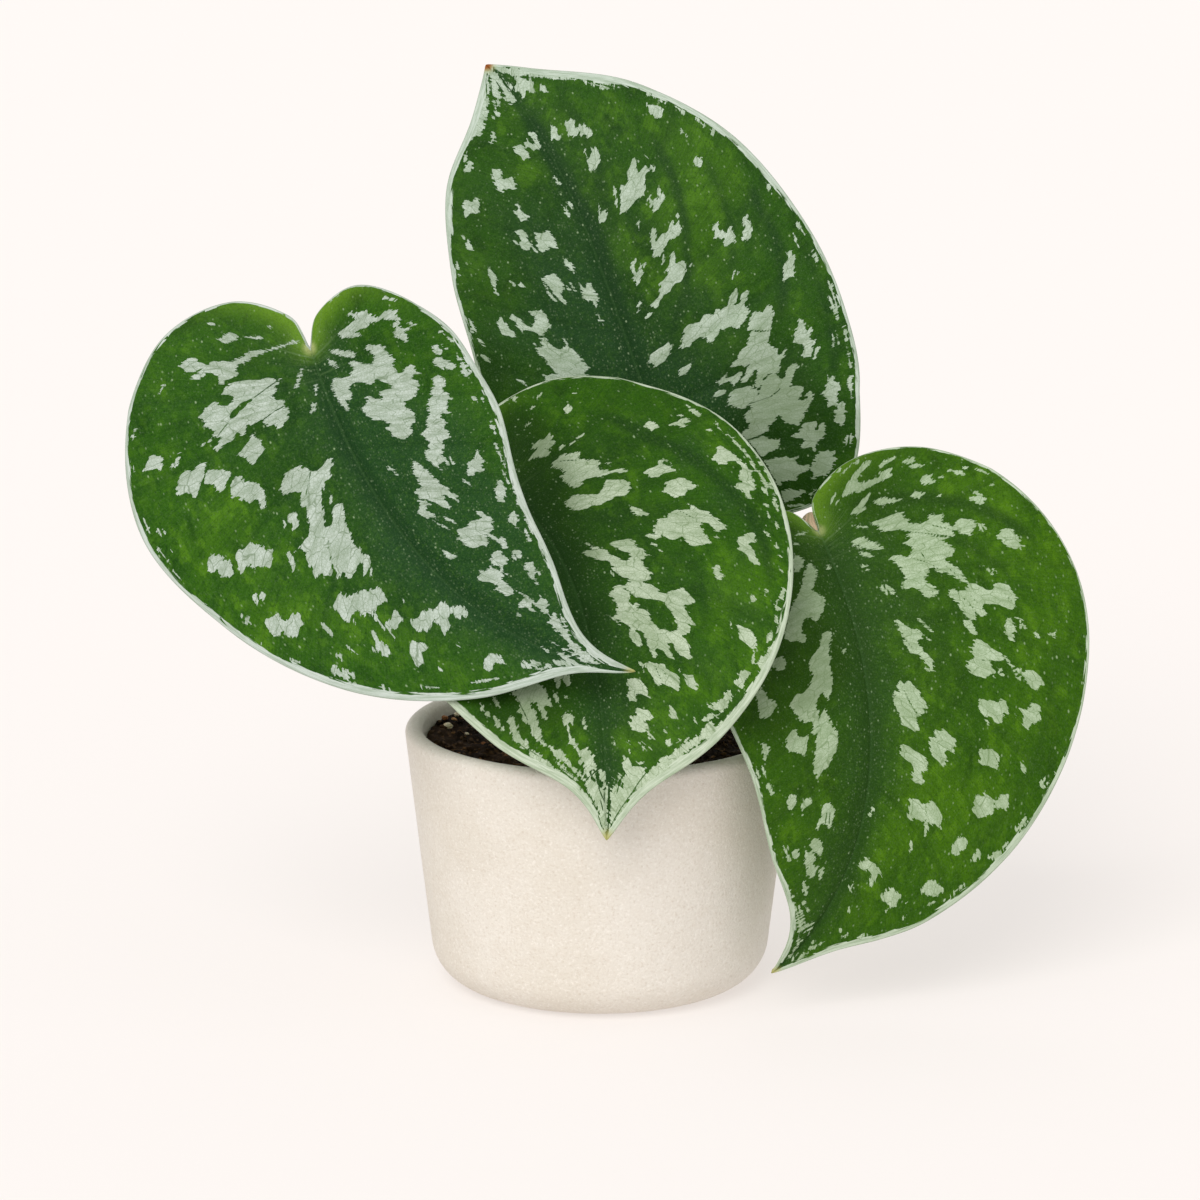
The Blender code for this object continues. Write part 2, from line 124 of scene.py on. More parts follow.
# ================================================================ silver marks
# Where the silver marks lie, as outlines (x, y, x, y ...) and strokes (x, y, x, y, width)
# in the photograph's frame of 1200 by 1200. They are laid on the blades by looking along
# the photograph's line of sight. The ragged ends and the grain come from the materials.
LEFT_PATCHES = (
    (218,339,222,337,224,334,229,332,235,334,240,337,235,340,231,343,225,344,221,341),
    (245,337,252,336,259,335,265,339,258,340,250,338),
    (180,366,186,361,190,358,196,358,197,362,203,363,208,366,201,369,195,372,190,372,185,374,186,370),
    (191,379,200,371,207,366,214,362,222,361,230,362,238,359,244,356,249,352,258,350,269,350,262,354,254,357,246,
     362,240,365,236,368,239,374,233,378,226,381,222,386,218,381,219,377,213,373,206,373,203,377,199,380),
    (223,395,227,387,232,383,240,381,250,380,259,380,266,378,272,378,277,381,280,379,276,386,277,390,273,394,273,
     398,277,400,284,400,285,406,289,410,289,418,285,423,283,427,277,430,275,424,269,427,265,423,262,420,258,422,
     251,426,248,424,247,431,243,436,238,432,235,435,232,441,226,443,221,448,217,453,214,449,219,442,223,436,218,
     438,213,436,215,431,211,429,206,427,202,427,206,421,200,418,204,412,208,406,216,401,220,406,228,406,233,402,
     235,398,231,395),
    (238,456,244,448,249,440,252,434,257,438,262,443,265,448,261,454,258,460,254,465,249,463,247,457),
    (144,471,146,463,149,457,153,455,161,456,163,462,161,471,157,468,152,470),
    (176,491,177,483,180,476,186,471,193,471,197,467,200,464,208,463,205,470,203,478,200,484,199,490,197,498,194,
     498,191,492,186,493,180,496),
    (205,484,206,477,208,470,213,471,221,470,226,471,232,471,231,478,227,484,225,489,221,492,215,491,213,485),
    (230,492,232,484,234,478,237,475,242,477,244,482,252,481,258,484,263,487,266,492,265,499,265,508,262,508,260,
     501,255,500,250,504,246,501,241,500,240,496,233,497),
    (280,491,282,482,285,474,291,470,300,466,305,469,310,472,317,471,323,466,328,458,333,460,332,468,330,478,325,
     481,322,485,321,497,324,510,325,525,327,535,329,550,331,562,333,573,325,576,319,574,317,580,313,571,309,563,
     305,554,300,547,303,542,308,537,310,532,308,520,307,508,304,507,300,507,301,500,302,492,296,492,289,493,287,
     496,283,492),
    (333,513,334,507,337,505,341,503,344,507,344,515,346,522,350,529,352,538,354,544,360,548,363,554,370,555,370,
     563,368,570,365,576,363,568,361,561,357,567,356,572,351,577,346,577,343,573,339,578,335,573,332,565,329,552,
     328,540,326,527,332,525,333,519),
    (287,520,288,515,292,512,297,512,299,520,299,526,293,531,291,525),
    (285,553,290,550,293,556,295,566,294,572,291,565,288,559),
    (209,557,215,554,221,555,224,560,229,559,231,564,234,570,235,573,229,579,226,575,221,577,217,571,209,571,208,564),
    (236,556,238,550,243,550,248,545,251,541,255,546,262,546,266,551,272,550,274,558,272,565,270,570,265,567,258,
     567,254,570,251,565,246,567,243,575,239,569,237,563),
    (263,619,269,619,274,617,278,613,283,618,288,620,293,613,299,612,302,618,305,624,300,628,298,635,293,637,289,
     637,285,632,279,634,276,637,271,631,267,625),
    (253,596,257,593,259,597,259,606,256,601),
    (259,595,263,592,266,597,262,600),
    (330,350,340,350,350,351,356,354,354,358,345,356,337,355),
    (327,358,331,360,336,363,338,368,332,365),
    (337,334,345,328,352,323,358,319,352,317,348,314,352,312,358,313,368,311,371,315,380,317,386,311,390,310,400,
     310,397,314,401,320,393,320,384,319,378,322,371,323,369,327,362,329,357,332,363,336,352,337,342,338),
    (393,334,396,329,395,323,399,320,400,327,409,328,412,330,405,331,409,336,407,342,399,340),
    (408,323,412,321,416,325,411,326),
    (366,349,368,345,377,345,384,346,386,352,392,356,396,361,392,367,400,373,403,372,404,370,408,367,411,364,416,
     366,415,371,421,374,414,374,412,377,419,383,418,391,414,398,406,401,405,406,411,409,417,414,415,422,412,427,
     414,432,407,439,400,439,393,435,388,428,391,424,384,420,375,420,368,416,361,409,367,405,368,399,365,398,369,
     396,376,398,383,400,382,396,380,392,388,389,394,388,390,384,381,380,377,379,372,385,364,382,357,382,352,384,
     349,389,353,395,350,400,344,399,350,408,348,411,341,403,336,396,333,389,332,383,335,378,343,378,350,376,352,
     371,354,368,350,364,350,361,357,362,365,364,373,364,375,358,373,353),
    (432,349,434,345,438,345,443,349,441,355,437,354),
    (433,363,437,357,442,358,448,361,456,364,453,371,448,369,443,366,446,371,439,367),
    (461,363,463,364,466,370,469,374,466,377,462,372),
    (433,379,436,376,439,374,443,378,447,382,444,387,445,392,450,396,453,400,447,399,449,404,446,408,451,412,448,
     414,443,412,441,418,447,422,446,428,450,433,450,438,444,441,444,448,442,454,447,460,441,463,438,464,444,471,
     438,467,430,461,425,457,425,452,430,449,429,441,424,437,422,434,427,429,428,423,429,417,430,412,428,405,429,
     399,432,395,429,391,434,387),
    (412,466,416,460,421,465,428,470,434,476,440,483,446,486,450,491,457,496,454,500,448,496,443,494,445,500,450,
     505,451,509,444,507,437,503,429,500,420,498,416,493,417,489,422,487,419,480,415,473),
    (418,500,424,501,430,503,434,506,427,505,426,509,433,514,438,520,432,517,428,519,422,517,417,511,421,507),
    (467,472,470,463,474,458,475,453,478,449,482,455,485,461,481,464,485,470,481,472,476,471,474,475,469,476),
    (495,490,498,482,501,479,505,486,507,497,503,495,504,502,499,501,496,495),
    (508,519,510,513,515,510,519,518,517,524,521,531,516,527,512,523),
    (457,529,463,528,468,525,472,521,477,520,482,517,478,513,477,511,482,511,486,516,492,517,494,520,491,524,494,
     529,489,532,494,536,499,540,502,536,507,542,508,548,503,549,499,543,493,539,486,534,489,540,487,548,483,545,
     478,547,473,548,467,545,458,540,460,534),
    (441,549,447,551,453,554,459,556,452,559,446,557),
    (490,561,492,555,497,550,501,551,504,556,507,560,505,566,502,570,498,567,492,565),
    (475,577,482,574,487,570,490,566,495,569,501,572,504,576,500,580,506,583,511,586,515,590,514,593,507,596,500,
     592,494,590,497,586,491,582,484,582,479,580),
    (518,606,521,600,526,597,531,600,536,603,540,598,545,599,549,604,546,608,549,613,544,614,540,609,536,606,532,
     603,530,607,537,613,531,611,526,607,520,608),
    (524,566,526,563,532,562,534,568,537,572,534,575,535,581,531,579,528,573),
    (511,554,515,550,519,550,522,554,519,559,516,555),
    (333,606,336,600,338,594,341,592,345,596,350,594,358,593,363,590,369,590,376,588,381,587,384,593,388,601,383,
     602,378,604,376,610,370,612,366,614,363,616,358,612,352,614,350,620,345,622,341,617,338,612),
    (385,624,391,618,393,612,395,608,398,612,402,616,403,620,399,625,396,630,391,630,397,639,395,640,390,634,386,628),
    (410,620,415,620,419,617,421,611,428,609,433,610,438,604,441,600,445,603,450,608,456,606,460,604,465,608,469,
     614,466,617,462,616,461,621,456,617,453,611,450,615,448,619,451,626,449,630,445,635,441,628,437,622,434,621,
     430,629,427,635,423,629,420,632,415,629,412,625),
    (410,645,413,641,418,643,424,643,429,648,425,651,421,651,423,658,424,663,418,666,414,661,410,653),
    (371,631,376,634,379,640,384,645,388,647,392,653,387,656,381,653,376,648,376,641),
    (483,668,485,661,488,656,491,653,496,655,501,657,500,661,495,664,493,669,488,672),
    (336,655,339,651,342,655,342,660,338,657),
    (331,671,333,666,336,665,341,670,347,674,351,678,346,679,337,676),
    (521,663,527,662,533,660,537,663,543,663,537,666,538,669,533,668,527,667,522,669),
    (543,668,545,664,552,664,552,668,547,669),
    (548,622,551,617,553,612,556,613,559,620,564,627,568,632,572,640,578,645,585,652,592,658,600,664,594,664,586,
     661,578,657,571,650,567,643,561,636,554,628),
    (557,652,563,653,570,657,578,663,590,666,600,669,588,669,577,667,569,663,562,658),
    (553,661,558,659,566,662,572,666,562,666,555,664),
    (550,641,554,642,560,646,556,646),
    (575,655,583,658,592,663,584,663,577,659),
)
LEFT_STREAKS = (
    (269,350,299,341,1.2),
    (302,369,296,389,1.6),
    (164,385,159,394,1.2),
    (180,454,175,468,2.4),
    (174,463,171,471,1.6),
    (316,385,316,396,2.2),
    (313,402,312,413,1.6),
    (316,403,314,411,1.0),
    (208,324,214,324,1.8),
    (269,326,270,327,1.4),
    (212,439,208,443,1.2),
    (205,443,203,446,0.8),
    (136,428,132,442,1.6),
    (133,464,135,472,1.8),
    (331,494,331,504,1.4),
    (323,484,324,490,1.2),
    (157,528,162,536,1.8),
    (161,528,166,534,2.0),
    (171,549,173,553,1.4),
    (241,614,244,618,1.6),
    (246,616,251,619,1.8),
    (245,620,252,624,1.0),
    (283,519,286,526,1.8),
    (294,553,297,550,2.4),
    (299,548,302,545,1.6),
    (370,565,372,578,1.6),
    (402,598,405,603,1.8),
    (373,613,379,621,1.6),
    (380,622,385,630,1.4),
    (353,619,357,625,1.6),
    (373,649,376,652,1.4),
    (320,622,333,635,1.2),
    (346,645,359,655,1.2),
    (343,670,354,674,1.4),
    (350,676,355,677,1.2),
    (389,466,398,474,2.2),
    (442,345,446,349,1.6),
    (450,455,454,464,1.6),
    (446,458,450,466,1.2),
    (463,479,472,486,2.0),
    (473,397,478,402,1.8),
    (482,398,484,402,1.6),
    (444,517,456,523,2.6),
    (442,525,449,529,2.4),
    (434,521,440,525,1.4),
    (453,496,459,502,1.4),
    (437,503,450,509,2.0),
    (481,571,490,577,2.0),
    (500,570,508,575,1.4),
    (515,590,534,601,1.6),
    (489,579,497,585,1.6),
    (539,594,545,603,1.8),
    (517,613,520,616,1.4),
    (548,614,553,620,1.6),
    (560,614,566,628,2.2),
    (542,647,548,651,1.8),
    (553,624,569,642,1.4),
    (455,644,462,648,2.0),
    (458,641,460,644,1.4),
    (438,668,443,671,1.6),
    (499,661,505,662,1.8),
    (525,516,533,534,1.6),
    (525,528,530,541,1.4),
    (514,486,519,504,1.8),
    (516,560,512,554,1.2),
    (533,575,537,584,1.6),
    (537,570,540,575,1.4),
    (534,669,546,669,1.6),
    (563,649,572,653,1.6),
    (572,652,577,658,1.6),
    (385,298,396,300,1.4),
    (440,331,455,343,1.8),
    (457,356,470,372,1.2),
    (491,421,496,434,1.8),
    (495,442,506,468,2.2),
    (503,470,509,484,1.8),
    (251,635,262,644,1.2),
    (288,658,303,663,1.8),
    (156,546,170,563,1.4),
    (170,563,174,567,1.6),
    (173,570,181,580,1.2),
    (141,515,148,526,3.0),
    (146,526,151,534,1.6),
    (379,686,390,690,2.4),
    (345,682,358,686,2.0),
    (422,687,440,688,2.4),
    (470,683,500,678,2.6),
)
LEFT_CRACKS = (
    (252,400,246,403,3.2),
    (246,403,238,410,6.0),
    (238,410,232,417,6.5),
    (279,380,266,389,1.1),
    (266,389,254,398,1.1),
    (285,406,274,412,1.1),
    (274,412,262,421,1.1),
    (230,421,222,431,1.1),
    (222,431,215,441,1.1),
    (311,470,309,482,1.1),
    (309,482,306,495,1.1),
)
TOP_PATCHES = (
    (482,72,486,70,488,80,489,90,489,100,488,110,486,118,484,126,482,134,480,137,477,136,473,138,469,142,466,147,
     463,153,460,158,454,158,458,148,463,138,468,128,473,118,477,108,480,98,482,86),
    (485,69,492,69,498,74,502,80,506,86,508,90,512,94,516,100,516,103,510,104,507,98,503,92,500,88,497,84,499,92,
     500,100,499,106,497,102,494,94,492,86,490,78),
    (490,66,500,65,508,67,520,69,532,70,545,69,560,69,575,69,590,72,602,75,602,80,590,80,578,80,560,80,545,78,533,
     77,520,77,508,76,498,72),
    (514,77,524,78,531,79,534,84,533,88,530,91,526,93,524,100,522,98,520,93,516,92,513,87,517,84,515,79),
    (505,99,509,97,510,91,513,93,515,98,517,102,516,103,512,104,510,105,509,102,506,102),
    (491,86,493,84,496,85,499,91,500,96,500,102,499,106,498,106,497,102,495,98,493,95,492,91),
    (540,90,540,85,544,84,546,87,547,91,549,92,545,93,541,92),
    (551,122,553,126,556,128,558,132,561,136,561,140,557,142,554,141,552,137,551,131,550,127),
    (565,122,569,121,572,119,574,120,575,124,577,128,579,131,579,134,576,135,573,137,570,138,568,134,567,129,565,126),
    (579,126,582,126,583,124,585,128,586,128,588,127,590,130,591,133,593,135,591,136,588,137,584,135,581,135,579,131),
    (514,149,517,147,521,145,524,148,527,151,529,154,530,157,527,159,524,162,522,160,520,156,516,154),
    (524,144,528,142,533,145,537,142,540,147,538,150,534,151,530,148,526,148),
    (590,146,593,148,596,148,598,152,599,156,601,161,600,164,598,165,597,169,593,171,589,170,588,165,586,161,590,
     158,591,156,591,151),
    (492,173,494,170,500,170,502,175,503,180,507,179,510,178,512,177,514,180,516,186,516,189,512,190,509,189,507,
     189,504,191,502,193,498,191,496,189,495,184,493,179),
    (463,205,465,202,469,200,471,203,474,201,477,199,479,201,480,205,480,210,479,213,476,214,472,213,470,214,468,
     217,465,219,464,217,463,212,464,210),
    (514,210,516,211,518,208,519,207,521,210,524,213,526,214,529,217,528,220,525,221,521,222,519,220,518,217,516,214),
    (601,213,602,211,604,210,607,211,607,215,607,219,605,222,603,223,600,223,599,218),
    (516,231,519,230,522,229,525,232,527,236,529,240,530,243,532,245,530,247,529,249,526,250,523,249,521,246,519,
     244,521,240,519,236,517,233),
    (534,231,537,233,540,233,543,233,547,231,549,231,551,234,554,238,557,242,558,245,557,248,554,248,550,247,547,
     249,545,251,542,252,539,250,537,245,535,240,537,238,536,235),
    (465,242,467,242,468,238,470,242,472,247,474,250,468,250,466,247),
    (465,168,467,165,468,162,471,161,473,163,472,168,471,172,469,173,467,172,465,174,464,171),
    (491,140,492,137,492,133,493,131,495,135,495,141,492,142,491,146,490,144),
    (633,158,636,162,637,165,636,169,638,173,640,172,641,170,644,167,645,163,647,166,650,168,650,164,653,165,655,
     168,657,172,654,172,652,170,649,172,646,174,646,179,645,184,645,196,644,197,640,197,636,200,633,204,629,208,
     625,212,621,214,620,211,620,204,621,197,620,190,621,186,625,185,628,182,628,177,627,172,629,169,631,165),
    (647,198,649,202,650,206,652,207,652,213,654,212,659,209,661,205,665,200,663,195,661,191,659,186,657,189,658,
     195,659,198,656,199,652,200,650,195,649,198),
    (651,248,651,241,651,231,653,228,655,228,657,233,656,238,657,244,658,243,659,238,662,235,665,235,668,232,670,
     228,671,223,673,221,675,226,677,224,679,220,680,217,680,224,682,229,681,234,679,238,677,237,675,240,670,240,
     668,243,666,247,664,249,662,254,660,258,658,256,654,258,654,254,653,249),
    (713,224,717,223,719,226,720,231,723,228,724,231,725,234,727,233,728,229,730,226,732,228,734,235,734,239,736,
     240,737,242,734,243,732,242,729,245,726,246,724,243,723,240,724,237,718,238,714,238,714,231),
    (741,220,744,216,746,215,747,218,750,220,752,224,752,230,752,236,750,239,747,240,745,242,743,240,742,235,742,
     231,744,230,745,228,744,224,742,221),
    (785,250,787,253,789,251,791,249,793,252,794,256,796,262,794,263,794,268,794,273,795,278,792,278,789,276,787,
     279,784,280,783,275,783,268,784,263,787,261,787,256),
    (694,160,696,158,698,157,701,159,703,163,701,167,699,168,696,167,695,168,694,165),
    (646,104,650,105,655,105,660,107,663,110,662,115,660,117,657,118,654,117,651,114,648,114,649,109),
    (631,263,633,261,635,261,634,265,635,268,637,272,640,269,641,265,642,270,644,272,642,277,640,282,638,285,635,
     282,633,277,632,270),
    (672,253,675,252,676,255,676,261,677,263,680,261,684,260,686,263,687,268,685,274,683,279,680,283,676,283,672,
     287,670,292,667,293,663,295,661,300,659,306,655,309,653,308,651,305,652,303,658,297,660,288,660,283,665,279,
     668,273,665,271,669,266,670,258),
    (680,346,681,350,684,348,686,347,690,347,692,343,696,339,700,338,705,338,707,340,709,343,714,341,716,337,719,
     333,720,329,723,330,728,327,733,326,735,330,740,328,742,323,746,320,747,316,749,314,750,308,747,307,745,304,
     748,294,749,289,747,290,742,294,741,298,740,304,735,304,738,293,738,287,736,288,733,292,730,297,728,303,728,
     307,724,307,720,311,719,309,716,308,714,315,710,314,704,314,700,322,692,324,688,325,684,330,683,337),
    (747,331,749,326,750,320,751,315,754,311,758,311,763,313,765,308,768,304,771,308,774,311,773,316,772,322,771,
     327,770,331,762,330,755,330,751,331),
    (751,332,761,332,769,332,769,339,768,343,772,346,775,348,777,346,779,348,779,354,782,353,784,349,788,348,785,
     353,782,360,780,367,778,373,773,373,768,374,764,378,763,382,760,386,759,389,757,388,754,383,756,378,758,373,
     755,369,753,374,749,378,747,382,741,383,741,379,744,376,748,370,747,368,751,364,750,363,745,367,740,365,735,
     367,730,366,734,361,737,360,740,353,743,349,747,346,748,340,750,335),
    (727,406,728,400,731,393,735,389,741,388,747,386,750,386,754,388,758,390,758,395,754,400,748,404,747,408,741,
     409,737,408,734,405,730,405),
    (748,405,754,400,758,395,760,389,762,384,765,379,769,375,775,374,779,376,782,379,784,377,786,372,791,365,793,
     363,798,366,796,371,794,376,791,382,791,386,796,386,803,386,802,392,800,397,800,401,805,400,808,392,811,390,
     814,396,812,402,810,406,806,411,804,416,801,423,798,426,794,424,789,425,786,422,782,417,779,414,777,414,775,
     420,770,425,767,431,761,435,755,437,750,440,747,440,740,435,742,431,748,428,749,423,745,418,743,418,748,411,
     752,408),
    (716,381,720,380,724,376,727,373,726,378,730,377,734,376,740,371,742,374,740,379,735,385,733,388,732,383,728,
     382,724,383,720,385,718,387,719,383),
    (712,397,714,393,719,390,724,389,728,390,724,394,720,396,716,397),
    (648,363,650,358,653,353,656,351,660,348,664,346,668,342,671,346,671,351,669,356,665,361,660,364,656,367,652,365),
    (679,376,679,371,681,368,686,366,689,364,692,362,691,367,688,371,686,374,683,375),
    (792,343,793,337,796,330,798,322,799,318,801,320,804,319,805,326,806,332,809,330,810,327,812,327,811,333,810,
     339,813,339,817,341,816,344,813,346,812,351,811,357,805,357,803,359,802,354,803,347,801,344,797,343),
    (820,395,824,392,826,387,828,382,828,378,831,378,832,375,834,375,834,381,836,383,839,382,840,388,838,395,837,
     402,838,405,832,405,828,408,827,402,826,397,823,396),
    (834,422,834,416,836,409,838,404,842,401,845,404,845,410,846,417,845,422,842,424,841,427,839,423,836,423),
    (792,437,795,434,799,431,801,428,803,424,806,422,808,422,811,422,814,421,817,421,817,423,815,427,814,430,817,
     431,819,429,820,424,823,422,824,422,824,429,826,433,824,436,823,439,820,439,818,441,817,444,816,448,815,452,
     813,449,812,447,809,447,806,448,802,448,800,446,801,444,803,441,804,439,801,438,796,438),
    (747,441,751,440,757,438,762,436,767,437,770,439,773,438,775,440,778,439,781,438,781,442,780,445,777,448,774,
     451,769,453,765,456,762,457,760,456,754,449,750,445),
    (764,461,768,459,773,458,777,457,779,458,782,457,787,455,789,458,793,457,796,457,799,455,797,458,794,459,792,
     461,795,461,799,464,802,465,807,464,810,464,809,467,808,469,804,473,801,474,797,477,795,480,791,480,787,481,
     783,481,782,483,779,485,776,482,772,476,769,469),
    (810,468,812,465,814,461,816,456,818,453,820,451,823,452,826,451,828,449,829,451,831,452,833,450,836,450,835,
     454,833,457,836,458,835,462,833,467,830,470,828,474,825,476,822,475,818,476,812,479,813,474,815,471,812,471),
    (781,492,784,490,789,489,794,489,797,490,806,490,804,494,800,497,794,499,789,500,785,503,783,499),
    (844,446,845,442,846,436,847,433,849,434,848,439,847,443,845,448),
    (825,288,828,294,832,301,838,312,838,321,835,315,831,306,827,297),
    (847,381,849,376,852,376,852,385,850,389,848,386),
    (487,269,489,268,492,271,495,275,497,280,495,283,496,288,498,296,495,293,493,288,492,283,490,279,489,274),
    (510,281,513,283,516,285,517,288,514,288,511,285),
    (517,285,520,285,520,281,522,283,524,286,526,289,523,288,519,287),
    (541,279,545,277,550,275,554,273,556,276,560,280,564,285,564,288,563,291,560,292,561,296,564,300,568,305,565,
     305,561,301,558,297,554,294,551,290,548,285,544,282),
    (562,260,566,258,569,261,572,265,574,269,576,274,573,274,570,270,566,266,564,262),
    (579,283,582,286,585,289,587,284,590,283,592,287,595,292,598,296,599,299,597,302,596,302,598,305,597,309,595,
     307,592,302,590,300,589,303,586,301,582,296,582,292,580,288),
    (495,320,497,323,499,318,501,316,503,319,505,323,508,326,512,331,514,334,516,337,512,338,509,336,505,336,502,
     335,501,331,499,327,497,325),
    (510,316,512,314,515,316,519,318,520,318,522,321,526,324,530,327,533,324,536,322,534,317,530,312,535,311,542,
     309,544,313,547,318,549,321,550,327,548,330,545,330,545,333,543,336,540,335,537,333,534,332,530,331,526,330,
     523,330,523,334,521,332,519,328,516,325,513,321,510,320),
    (535,349,540,347,543,346,541,343,540,339,545,338,549,342,552,346,556,349,562,350,564,347,566,344,563,339,561,
     335,563,336,566,341,568,345,572,349,576,353,581,356,582,359,584,363,588,367,590,369,585,371,586,374,588,376,
     584,378,582,380,576,381,569,381,562,381,558,375,553,370,548,365,545,360,541,356,537,352),
    (544,375,548,376,554,374,559,376,561,379,556,382,548,382,545,379),
    (480,353,483,355,484,354,487,357,490,360,490,363,486,361,483,359,480,357),
    (469,318,471,321,473,325,475,328,476,332,473,330,471,327,470,323),
    (646,318,647,314,650,312,652,313,650,316,647,319),
)
TOP_STREAKS = (
    (500,84,510,96,3.0),
    (503,78,511,90,2.5),
    (496,75,506,90,2.5),
    (508,82,515,92,2.0),
    (493,101,495,104,2.0),
    (495,108,498,116,2.5),
    (493,117,494,119,1.5),
    (531,89,534,92,2.0),
    (526,138,531,148,2.0),
    (530,133,539,150,3.0),
    (533,133,540,147,3.0),
    (528,145,534,151,3.0),
    (585,151,587,158,1.6),
    (516,204,518,206,1.4),
    (554,176,559,184,2.0),
    (563,207,570,219,2.2),
    (566,207,569,215,1.8),
    (569,202,573,212,1.8),
    (599,203,600,219,1.6),
    (614,186,616,198,1.8),
    (616,198,617,208,2.0),
    (514,240,518,245,1.8),
    (531,245,537,252,1.2),
    (463,236,465,240,1.4),
    (467,151,465,162,1.6),
    (646,156,649,160,2.0),
    (638,161,639,163,1.5),
    (677,215,678,218,1.8),
    (664,253,663,263,2.0),
    (691,263,690,267,1.6),
    (680,130,688,137,1.3),
    (636,258,635,263,1.4),
    (641,263,640,270,1.6),
    (645,264,644,268,1.6),
    (735,270,732,281,1.8),
    (738,271,737,276,1.4),
    (638,217,639,230,1.2),
    (818,347,814,359,3.0),
    (826,374,828,376,1.6),
    (788,506,804,505,2.0),
    (808,496,815,490,2.0),
    (852,432,849,448,1.6),
    (828,280,836,306,1.6),
    (830,284,838,308,1.4),
    (832,334,834,347,2.0),
    (835,332,839,347,2.0),
    (844,326,849,355,1.8),
    (849,357,851,368,1.6),
    (851,388,852,399,1.4),
    (544,285,548,289,1.4),
    (547,291,552,297,1.2),
    (553,299,557,302,1.6),
    (570,283,575,291,1.8),
    (566,286,570,290,1.0),
    (533,343,537,347,2.0),
    (471,330,473,334,2.0),
    (518,379,528,387,1.8),
    (479,340,484,346,1.4),
    (598,315,603,325,1.6),
    (640,301,638,311,1.8),
    (457,261,458,270,1.6),
    (459,274,460,277,1.4),
    (793,233,799,248,1.6),
    (796,222,805,235,1.6),
    (585,82,612,90,2.0),
    (600,82,620,88,1.6),
    (647,93,665,103,1.6),
    (675,106,685,114,1.4),
    (695,117,705,127,1.4),
    (708,127,716,136,1.6),
    (765,180,772,193,1.8),
    (768,180,776,190,1.2),
    (812,250,818,262,1.4),
)
TOP_CRACKS = (
    (500,77,512,92,1.3),
    (496,82,503,92,1.2),
    (491,84,492,98,1.0),
    (505,74,516,79,1.1),
    (486,78,487,100,0.6),
    (748,404,770,397,1.2),
    (770,397,778,391,1.1),
    (778,391,781,387,0.9),
    (747,331,770,331,1.1),
    (742,442,760,436,1.2),
    (760,436,767,433,1.0),
)
